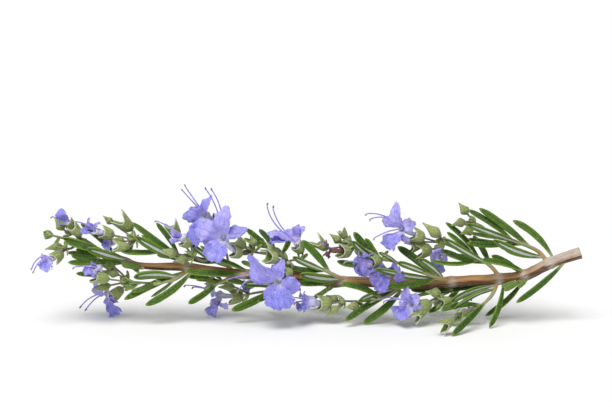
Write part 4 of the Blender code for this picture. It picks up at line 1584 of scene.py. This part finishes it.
def anther_material():
    """Mealy tan, or brown where the anthers have ripened."""
    material, tree, shader = new_material("anther", Roughness=0.7, Sheen_Weight=0.2)
    mottle = placed(tree, MOTTLE, Scale=4000.0, Contrast=2.0)
    tan = mixed(tree, mottle, (0.42, 0.27, 0.13), (0.66, 0.52, 0.34))
    brown = mixed(tree, mottle, (0.10, 0.045, 0.03), (0.30, 0.15, 0.08))
    base = laid(tree, tan, brown, mark(tree, "brown"))
    dress(tree, shader, base, mottle, 0.0002, 0.8)
    return material


def down_material():
    """Silvery grey-green hairs."""
    material, tree, shader = new_material("silvery down", Roughness=0.6, Sheen_Weight=0.5)
    mottle = placed(tree, MOTTLE, Scale=900.0, Contrast=1.5)
    dress(tree, shader, mixed(tree, mottle, (0.62, 0.62, 0.52), (0.85, 0.85, 0.80)))
    return material


# ---------------------------------------------------------------- pieces made of sheets and bells


def shape_object(name, shapes, material):
    """One object from shapes: (points in millimetres as an array, faces, marks)."""
    points = np.concatenate([shape[0] for shape in shapes])
    faces, first = [], 0
    for shape in shapes:
        faces += [tuple(first + index for index in face) for face in shape[1]]
        first += len(shape[0])
    mesh = bpy.data.meshes.new(name)
    mesh.from_pydata([tuple(p) for p in (points + np.array(BOX_SHIFT)) * MM], [], faces)
    for label in sorted({label for shape in shapes for label in shape[2]}):
        values = [shape[2].get(label, np.zeros(len(shape[0]))) for shape in shapes]
        kind = "FLOAT_VECTOR" if values[0].ndim == 2 else "FLOAT"
        write(mesh, label, np.concatenate(values), kind)
    mesh.materials.append(material)
    mesh.shade_smooth()
    return add_object(name, mesh)


def ring_faces(rows, columns):
    """Quads between closed rings, each of which has this many points, and the two end caps."""
    faces = []
    for row in range(rows - 1):
        for column in range(columns):
            beside = (column + 1) % columns
            a, b = row * columns + column, row * columns + beside
            faces.append((a, b, b + columns, a + columns))
    last = (rows - 1) * columns
    return faces + [tuple(range(columns))[::-1], tuple(range(last, last + columns))]


def axes_of(foot, mouth):
    """The axis of a bell with its up and side directions."""
    axis = (mouth - foot).normalized()
    up = UP - axis * UP.dot(axis)
    if up.length < 0.25:
        up = Vector((0, -1, 0)) - axis * axis.dot(Vector((0, -1, 0)))
    up.normalize()
    return axis, up, axis.cross(up)


def angle_off(angle, centre):
    return math.degrees(abs((angle - centre + math.pi) % (2 * math.pi) - math.pi))


def calyx_teeth(angle):
    """How far the rim stands out: one broad upper lip and two lower teeth, from 0 to 1."""
    upper = math.exp(-((angle_off(angle, math.pi / 2) / 52) ** 4))
    upper *= 0.72 + 0.28 * math.exp(-((angle_off(angle, math.pi / 2) / 14) ** 2))
    lower = sum(
        math.exp(-((angle_off(angle, math.radians(place)) / 25) ** 2)) for place in (238, 302)
    )
    return min(1.0, upper + 0.95 * lower)


def calyx_radius(t, angle, style):
    """Half width of a calyx as a share of its greatest, and its place along, from 0 to 1."""
    teeth, flare, closing = CALYX_STYLES[style]
    tooth = calyx_teeth(angle)
    body = 0.26 + 0.56 * math.sin(math.pi / 2 * min(1.0, t / 0.42)) ** 0.9
    body += 0.18 * smooth(0.35, 0.95, t)
    if closing:
        body += 0.1 * hump(t, 0.45, 0.25)
    body *= 1 - closing * smooth(0.4, 1.02, t) ** 0.85
    body *= 1 + 0.04 * math.cos(CALYX_RIBS * angle) * smooth(0.03, 0.3, t)
    rim = smooth(0.55, 1.0, t)
    body += flare * rim * (tooth - 0.2)
    place = t * (1 - teeth) + teeth * tooth * rim
    return body, place


def calyx_shape(foot, mouth, width, style, chance, purple):
    """A ribbed bell with a thin wall, open at its toothed mouth, or a closed bud."""
    axis, up, side = axes_of(foot, mouth)
    length = (mouth - foot).length * 1.12
    outer = [(t, 0.0) for t in even(CALYX_ROWS)]
    inner = [(t, CALYX_WALL) for t in CALYX_INNER_ROWS]
    rows = outer if style == "closed" else outer + inner
    points, rib, edge, along, under = [], [], [], [], []
    for t, wall in rows:
        for column in range(CALYX_SIDES):
            angle = 2 * math.pi * column / CALYX_SIDES
            radius, place = calyx_radius(t, angle, style)
            reach = max(radius * width / 2 - wall, 0.12)
            points.append(
                foot
                + axis * (place * length - wall * 0.3)
                + (side * math.cos(angle) + up * math.sin(angle)) * reach
            )
            rib.append(0.5 + 0.5 * math.cos(CALYX_RIBS * angle))
            edge.append(smooth(0.90, 0.985, t) * (0.25 if style == "closed" else 1.0))
            along.append(t)
            under.append(1.0 if wall else 0.0)
    along, under = np.array(along), np.array(under)
    marks = {
        "rib": np.array(rib),
        "edge": np.array(edge),
        "along": along,
        "under": under,
        "chance": np.full(len(points), chance),
        "purple": purple * np.clip(1 - along * 1.4, 0, 1) * (1 - under),
        "downy": 1 - under * 0.8,
    }
    return np.array(points), ring_faces(len(rows), CALYX_SIDES), marks


def closed_sheet(grid, thickness):
    """Two skins, half a thickness to each side of a grid of points, joined at the edges."""
    down_rows = np.gradient(grid, axis=0)
    down_columns = np.gradient(grid, axis=1)
    normal = np.cross(down_rows, down_columns)
    normal /= np.linalg.norm(normal, axis=2, keepdims=True) + 1e-12
    rows, columns = grid.shape[:2]
    front = (grid + normal * thickness / 2).reshape(-1, 3)
    back = (grid - normal * thickness / 2).reshape(-1, 3)
    size = rows * columns
    faces = []
    for r in range(rows - 1):
        for c in range(columns - 1):
            a, b = r * columns + c, (r + 1) * columns + c
            faces.append((a, b, b + 1, a + 1))
            faces.append((a + 1 + size, b + 1 + size, b + size, a + size))
    border = list(range(columns))
    border += [r * columns + columns - 1 for r in range(1, rows)]
    border += [(rows - 1) * columns + c for c in range(columns - 2, -1, -1)]
    border += [r * columns for r in range(rows - 2, 0, -1)]
    for a, b in zip(border, border[1:] + border[:1]):
        faces.append((a, b, b + size, a + size))
    return np.concatenate([front, back]), faces


def petal_point(form, v, s):
    """A point of a petal, v from its root in the tube to its tip and s across it from -1 to 1."""
    reach, forward, out, beside = form["reach"], form["forward"], form["out"], form["beside"]
    angle = s * form["spread"] / 2
    free = (v - TUBE_SHARE) / (1 - TUBE_SHARE)
    if free < 0:
        depth, swell = TUBE_LINING * free * (1 - TUBE_SHARE) / TUBE_SHARE, 1 + 0.3 * free
    else:
        depth, swell = form["length"] * 0.3 * free, 1 + 0.8 * free
    radial = out * math.cos(angle) + beside * math.sin(angle)
    on_tube = form["throat"] + forward * depth + radial * reach * swell
    if free <= 0:
        return on_tube
    tip_share = smooth(0.72, 1, free)
    place = free - 0.20 * s * s * tip_share - form["notch"] * hump(s, 0, 0.17) * tip_share
    place += 0.016 * math.sin(s * 16 + form["phase"]) * tip_share
    centre = bow(form["root"], form["middle"], form["tip"], [place])[0]
    half = form["width"] / 2 * float(np.interp(free, form["places"], form["outline"]))
    half *= 1 + 0.05 * math.sin(v * 34 + form["phase"]) * smooth(0.3, 0.6, v)
    lift = form["cup"] * s * s * half * 2 * smooth(0.0, 0.4, free)
    lift += form["curl"] * form["width"] * smooth(0.5, 1.0, free) ** 1.5
    ripple = math.sin(v * 12 + form["phase"] + 2.2 * s) * abs(s) ** 1.5 * smooth(0.2, 0.6, v)
    lift += form["ruffle"] * form["width"] * ripple
    turn = Quaternion(form["chord"], form["turn"] * free)
    flat = turn @ (form["across"] * (s * half) + form["facing"] * lift)
    point = centre + flat
    crease = noise.noise_vector(point * 0.5 + Vector((form["phase"], 0, 0)))
    point = point + crease * ((0.35 + 1.7 * form["age"]) * smooth(0.1, 0.5, free))
    return on_tube.lerp(point, smooth(0.0, 0.38, free))


def petal_shape(throat, forward, reach, kind, tip, width, chance, age):
    """A petal from the tube to its tip, as a thin closed sheet."""
    outline, cup, curl, ruffle, notch, pale, spread = PETALS[kind]
    out = tip - throat
    out = (out - forward * out.dot(forward)).normalized()
    root = throat + out * reach
    chord = (tip - root).normalized()
    facing = forward - out * 0.5
    facing = (facing - chord * facing.dot(chord)).normalized()
    length = (tip - root).length
    form = {
        "throat": throat,
        "forward": forward,
        "reach": reach,
        "out": out,
        "beside": out.cross(forward),
        "spread": math.radians(spread),
        "root": root,
        "middle": root + (forward * 0.75 + chord * 0.35) * (length * 0.5),
        "tip": tip,
        "length": length,
        "chord": chord,
        "facing": facing,
        "across": chord.cross(facing),
        "width": width,
        "outline": outline,
        "places": np.linspace(0, 1, len(outline)),
        "cup": cup,
        "curl": curl,
        "ruffle": ruffle,
        "notch": notch,
        "phase": chance * 20,
        "turn": math.radians(50) * (chance - 0.5),
        "age": age,
    }
    rows = even(PETAL_ROWS)
    columns = [2 * share - 1 for share in even(PETAL_COLUMNS)]
    grid = np.array([[petal_point(form, v, s) for s in columns] for v in rows])
    points, faces = closed_sheet(grid, PETAL_SHEET)
    count = len(points)
    marks = {
        "along": np.tile(np.repeat(rows, PETAL_COLUMNS), 2),
        "across": np.tile(columns, 2 * PETAL_ROWS),
        "chance": np.full(count, chance),
        "age": np.full(count, age),
        "lip": np.full(count, 1.0 if kind == "lip" else 0.0),
        "pale": np.full(count, pale),
    }
    return points, faces, marks


def corolla_tube(start, heel, throat, forward, reach, chance, age):
    """The tube of a flower: a thin wall that widens from inside the calyx to the throat."""
    end = throat - forward * 0.25
    neck = end - forward * 1.6
    line = smooth_path([start, heel.lerp(neck, 0.35), neck, end], 5)
    line = [point_on(line, share)[0] for share in even(TUBE_RINGS)]
    rows = [
        (point, TUBE_FOOT + (reach * 0.97 - TUBE_FOOT) * smooth(0.1, 1.15, share))
        for point, share in zip(line, even(TUBE_RINGS))
    ]
    rows += [(point, width - TUBE_WALL) for point, width in rows[::-1][:TUBE_INNER_RINGS]]
    points = []
    ways = [(b - a).normalized() for a, b in zip(line, line[1:])] + [forward]
    ways += ways[::-1][:TUBE_INNER_RINGS]
    for (centre, width), way in zip(rows, ways):
        side = forward.cross(UP) + Vector((0.01, 0, 0))
        up = side.cross(way).normalized()
        side = way.cross(up)
        for k in range(TUBE_SIDES):
            angle = 2 * math.pi * k / TUBE_SIDES
            flute = 1 + 0.03 * math.cos(5 * angle)
            points.append(
                centre + (side * math.cos(angle) + up * math.sin(angle)) * (width * flute)
            )
    count = len(points)
    marks = {
        "along": np.repeat(np.linspace(0.3, 0.0, len(rows)), TUBE_SIDES),
        "across": np.tile(np.linspace(-2.5, 2.5, TUBE_SIDES), len(rows)),
        "chance": np.full(count, chance),
        "age": np.full(count, age),
        "pale": np.full(count, 0.8),
    }
    return np.array(points), ring_faces(len(rows), TUBE_SIDES), marks


# ---------------------------------------------------------------- the sprig's own pieces


def leaf_spine(rng, start, leaving, tip, width, turn, young=0.0, root=LEAF_ROOT):
    """A leaf: it stands out from its stalk, which runs along leaving, and bends after it."""
    straight = (tip - start).normalized()
    length = (tip - start).length
    aside = leaving - straight * leaving.dot(straight)
    aside *= min(1, 0.5 / max(aside.length, 0.1))
    middle = (start + tip) / 2 - aside * (length * LEAF_BEND)
    sway = Vector([rng.uniform(-1, 1) for _ in range(3)]) * length * LEAF_SWAY
    shares = [1 - (1 - share) ** 1.3 for share in even(LEAF_RINGS)]
    line = bow(start, middle + sway, tip, shares)
    reaches = []
    for share in shares:
        body = root + (1 - root) * smooth(-0.08, 0.5, share)
        end = max(0.0, (share - 1 + TIP_ROUNDING) / TIP_ROUNDING)
        body *= max(0.01, 1 - end**2.4) ** 0.6
        reaches.append(width * LEAF_NARROWING / 2 * body)
    return spine(
        line,
        reaches,
        face_normal(straight, turn),
        rng.uniform(-LEAF_TWIST, LEAF_TWIST),
        chance=rng.random(),
        young=young,
        downy=young * 0.5,
    )


def stalk_spine(rng, path, first, last, **marks):
    """A stalk along a path, from its first width to its last."""
    count = len(path)
    reaches = [(first + (last - first) * i / (count - 1)) / 2 for i in range(count)]
    return spine(path, reaches, chance=rng.random(), **marks)


def young_leaves(rng, end, along, count, length):
    """A tuft of young leaves that closes the tip of a shoot."""
    across = along.orthogonal().normalized()
    start = end - along * 0.5
    leaves = []
    for i in range(count):
        spin = Quaternion(along, math.tau * i / count + rng.uniform(-0.3, 0.3))
        spread = 0.15 + 0.25 * (i % 3)
        way = (along + (spin @ across) * spread).normalized()
        reach = length * rng.uniform(0.7, 1.05) * (1 - 0.3 * spread)
        tip = start + way * reach
        leaf = leaf_spine(rng, start, along, tip, reach * 0.36, 0, rng.uniform(0.6, 1.0), 0.5)
        leaves.append(refaced(leaf, along))
    return leaves


def refaced(leaf, along):
    """Turns a leaf's green face towards the way that its tuft grows."""
    line = leaf["line"]
    out = (line[-1] - line[0]).normalized()
    facing = along - out * along.dot(out)
    if facing.length < 1e-3:
        facing = out.orthogonal()
    leaf["faces"] = [flattened(facing, heading(line, i)) for i in range(len(line))]
    return leaf


def swept(spines, section, material, relief, seed):
    """The skin of some spines; relief is how it is roughened, broadly and finely."""
    (depth, lengthwise, crosswise), (fine_depth, fine_lengthwise, fine_crosswise) = relief
    values = {
        "Section": section,
        "Depth": depth,
        "Lengthwise": lengthwise,
        "Crosswise": crosswise,
        "Fine Depth": fine_depth,
        "Fine Lengthwise": fine_lengthwise,
        "Fine Crosswise": fine_crosswise,
        "Seed": seed,
        "Material": material,
    }
    return grown(spine_object(spines), SWEEP, values)


def leaves_object(spines):
    return swept(spines, LEAF_SECTION, LEAF, LEAF_RELIEF, 1.0)


def stalks_object(spines):
    return swept(spines, STALK_SECTION, STALK, STALK_RELIEF, 2.0)


def piece(name, parts, nodes, down=None):
    """Joins the parts of a piece, plants its down, and lets it stand for its CAD nodes."""
    obj = parts[0]
    if len(parts) > 1:
        with bpy.context.temp_override(
            active_object=obj, object=obj, selected_objects=parts, selected_editable_objects=parts
        ):
            bpy.ops.object.join()
    obj.name = name
    if down:
        obj = grown(obj, HAIRS, {"Seed": 0, "Material": DOWN, **down})
    obj.data.name = name
    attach(obj, "root")
    if nodes:
        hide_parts(*nodes)


def stem_reach(x):
    """Half the stem's width, swollen where leaves and shoots leave it."""
    swelling = sum(hump(x, node, 1.4) for node in STEM_NODES)
    return stem_width(x) / 2 * (1 + 0.13 * min(1.0, swelling))


def make_main_stem():
    rng = random.Random(11)
    path = smooth_path([Vector(point) for point, _ in STEM], 22)
    reaches = [stem_reach(min(point.x, CUT_WIDTH_AT)) for point in path]
    wool = [
        min(0.85, 0.85 * sum(hump(point.x, node, 1.5) for node in STEM_NODES)) for point in path
    ]
    ahead = (path[1] - path[0]).normalized()
    shares = [share for _, share in CUT_FACE]
    face = [path[0] + ahead * (sunk + CUT_STEP * i) for i, (sunk, _) in enumerate(CUT_FACE)]
    bare = [0.0] * len(face)
    stem = spine(
        face + [path[0] + ahead * CUT_RIM] + path[1:],
        [reaches[0] * share for share in shares] + reaches,
        UP,
        chance=0.3,
        wool=bare + wool,
        core=shares + [1.0] * len(path),
        cut=[1.0] * len(face) + [0.3] + [0.0] * (len(path) - 1),
        downy=bare + [0.12 + each for each in wool],
    )
    leaves = young_leaves(rng, *point_on(path, 1), *YOUNG_TIPS["main_stem"])
    for foot, tip, width, turn in SMALL_LEAVES:
        foot, tip = Vector(foot), Vector(tip)
        _, along = stem_point(foot.x)
        young = 0.35 * smooth(12, 6, (tip - foot).length)
        leaves.append(leaf_spine(rng, foot, along * STEM_LEAF_BEND, tip, width, turn, young))
    parts = [swept([stem], STEM_SECTION, BARK, BARK_RELIEF, 3.0), leaves_object(leaves)]
    piece("main_stem_bark", parts, ["main_stem"], STEM_DOWN)


def make_stem_leaf(name, x, tip, width, turn):
    rng = random.Random(name)
    axis, along = stem_point(x)
    tip = Vector(tip)
    foot = axis + flattened(tip - axis, along) * stem_width(x) * 0.4
    leaf = leaf_spine(rng, foot, along * STEM_LEAF_BEND, tip, width, turn)
    piece(name + "_blade", [leaves_object([leaf])], [name])


def make_shoot(name):
    rng = random.Random(name)
    path = shoot_path(name)
    stalk = stalk_spine(
        rng, path, STALK_WIDTH * 1.05, STALK_WIDTH * STALK_TAPER, woody=1.0, downy=0.5
    )
    leaves = []
    for share, tip, width, turn in SHOOTS[name][2]:
        start, along = point_on(path, share)
        leaves.append(leaf_spine(rng, start, along, Vector(tip), width, turn))
    if name in YOUNG_TIPS:
        leaves += young_leaves(rng, *point_on(path, 1), *YOUNG_TIPS[name])
    parts = [stalks_object([stalk]), leaves_object(leaves)]
    piece(name + "_foliage", parts, [name], SHOOT_DOWN)


def bracts_at(rng, point, way):
    """Small pale leaves where pedicels leave their stalk."""
    across = way.orthogonal().normalized()
    bracts = []
    for i in range(BRACTS):
        spin = Quaternion(way, math.tau * i / BRACTS + rng.uniform(-0.6, 0.6))
        out = (way * 1.2 + (spin @ across)).normalized()
        length = rng.uniform(*BRACT_LENGTHS)
        bract = leaf_spine(rng, point, way, point + out * length, BRACT_WIDTH, 0, 0.75, 0.6)
        bracts.append(refaced(bract, way))
    return bracts


def make_flower_stalk(name):
    rng = random.Random(name)
    path = flower_stalk_path(name)
    stalks = [stalk_spine(rng, path, PEDICEL_WIDTH * 1.3, PEDICEL_WIDTH, downy=0.6, purple=0.75)]
    shapes, bracts = [], []
    for foot, mouth, width, style in FLOWER_STALKS[name][3]:
        foot, mouth = Vector(foot), Vector(mouth)
        nearest = min(path[2:], key=lambda point: (point - foot).length)
        middle = (nearest + foot) / 2 - (mouth - foot) * 0.15
        line = bow(nearest, middle, foot.lerp(mouth, 0.08), even(9))
        purple = rng.choice((0.5, 0.8, 1.0))
        widths = (PEDICEL_WIDTH * 0.8, PEDICEL_WIDTH * 0.95)
        stalks.append(stalk_spine(rng, line, *widths, downy=0.7, purple=purple))
        shapes.append(calyx_shape(foot, mouth, width, style, rng.random(), purple))
        bracts += bracts_at(rng, nearest, (foot - nearest).normalized())
    parts = [
        shape_object("calyces", shapes, CALYX),
        stalks_object(stalks),
        leaves_object(bracts),
    ]
    piece(name + "_calyces", parts, [name], CALYX_DOWN)


def make_corolla(name, start, heel, row, nodes):
    """A flower's tube, petals and stamens, from inside its calyx outwards."""
    rng = random.Random(name)
    throat, forward, reach, age, petals, stamens = row
    throat = Vector(throat)
    forward = Vector(forward).normalized()
    tint = rng.random()
    shapes = [corolla_tube(start, heel, throat, forward, reach, tint, age)]
    for kind, tip, width in petals:
        chance = min(1.0, max(0.0, tint + rng.uniform(-0.35, 0.35)))
        shapes.append(petal_shape(throat, forward, reach, kind, Vector(tip), width, chance, age))
    parts = [shape_object("petals", shapes, PETAL)]
    brown = BROWN if name in BROWN_ANTHERS else TAN
    filaments, anthers = [], []
    for tip, bend in stamens:
        tip = Vector(tip)
        middle = (throat + tip) / 2 + Vector(bend)
        line = bow(throat - forward * 1.5, middle, tip, even(18))
        filaments.append(stalk_spine(rng, line, *FILAMENT_WIDTHS))
        way = (line[-1] - line[-2]).normalized()
        hang = (way + Vector((0, 0, -0.6)) + way.orthogonal() * 0.4).normalized()
        ends = [tip - hang * 0.2 + hang * ANTHER_LENGTH * share for share in even(len(ANTHER_SWELL))]
        anthers.append(spine(ends, ANTHER_SWELL, chance=rng.random(), brown=brown))
    if filaments:
        parts.append(swept(filaments, FINE_SECTION, FILAMENT, FILAMENT_RELIEF, 2.0))
        parts.append(swept(anthers, FINE_SECTION, ANTHER, ANTHER_RELIEF, 2.0))
    piece(name + "_corolla", parts, nodes)


def make_flower(name):
    (stalk, number), *row = FLOWERS[name]
    foot, mouth, _, _ = FLOWER_STALKS[stalk][3][number]
    foot, mouth = Vector(foot), Vector(mouth)
    heel = mouth + (mouth - foot).normalized() * 0.4
    make_corolla(name, foot.lerp(mouth, 0.45), heel, row, [name])


def make_loose_flower(name):
    (start, heel), *row = LOOSE_FLOWERS[name]
    make_corolla(name, Vector(start), Vector(heel), row, [])


# ---------------------------------------------------------------- floor, light and camera


def make_floor():
    bpy.ops.mesh.primitive_plane_add(size=FLOOR_SIZE, location=(0, 0, 0))
    floor = bpy.context.active_object
    floor.name = "pale_floor"
    material, tree, shader = new_material("pale floor", Roughness=0.9, Specular_IOR_Level=0.1)
    mottle = placed(tree, MOTTLE, Scale=3.0, Contrast=0.2)
    dress(tree, shader, mixed(tree, mottle, (0.93, 0.93, 0.93), (0.95, 0.95, 0.95)))
    floor.data.materials.append(material)


def make_light():
    """A white sky, and a wide soft light overhead, a little to the front and to the left."""
    world = bpy.data.worlds.new("studio")
    bpy.context.scene.world = world
    world.use_nodes = True
    background = world.node_tree.nodes["Background"]
    background.inputs["Color"].default_value = (1, 1, 1, 1)
    background.inputs["Strength"].default_value = SKY_STRENGTH
    data = bpy.data.lights.new("overhead softbox", "SUN")
    data.angle = math.radians(SUN_SPREAD)
    data.energy = SUN_STRENGTH
    light = add_object("overhead softbox", data)
    light.location = SUN_PLACE
    light.rotation_euler = Vector(SUN_PLACE).to_track_quat("Z", "Y").to_euler()


def make_camera():
    height = math.radians(CAMERA_HEIGHT)
    back = Vector((0, -math.cos(height), math.sin(height)))
    data = bpy.data.cameras.new("camera")
    data.lens = CAMERA_LENS
    data.sensor_width = 36
    data.clip_start = 0.02
    data.clip_end = 20
    camera = add_object("camera", data)
    camera.location = CAMERA_TARGET + back * CAMERA_DISTANCE
    camera.rotation_euler = (-back).to_track_quat("-Z", "Y").to_euler()
    bpy.context.scene.camera = camera


def clear_helpers():
    for obj in (LEAF_SECTION, STEM_SECTION, STALK_SECTION, FINE_SECTION):
        bpy.data.objects.remove(obj, do_unlink=True)


MOTTLE = mottle_group()
FIBRE = fibre_group()
SWEEP = sweep_tree()
HAIRS = down_tree()
BARK = bark_material()
STALK = stalk_material()
LEAF = leaf_material()
CALYX = calyx_material()
PETAL = petal_material()
FILAMENT = filament_material()
ANTHER = anther_material()
DOWN = down_material()
LEAF_SECTION = leaf_section("leaf section")
STEM_SECTION = round_section("stem section", 56, 4, 0.035)
STALK_SECTION = round_section("stalk section", 14, 4, 0.04)
FINE_SECTION = round_section("filament section", 8)

noise.seed_set(CREASE_SEED)
make_main_stem()
for name, row in STEM_LEAVES.items():
    make_stem_leaf(name, *row)
for name in SHOOTS:
    make_shoot(name)
for name in FLOWER_STALKS:
    make_flower_stalk(name)
for name in FLOWERS:
    make_flower(name)
for name in LOOSE_FLOWERS:
    make_loose_flower(name)
clear_helpers()
make_floor()
make_light()
make_camera()
bpy.context.scene.view_settings.view_transform = "Standard"
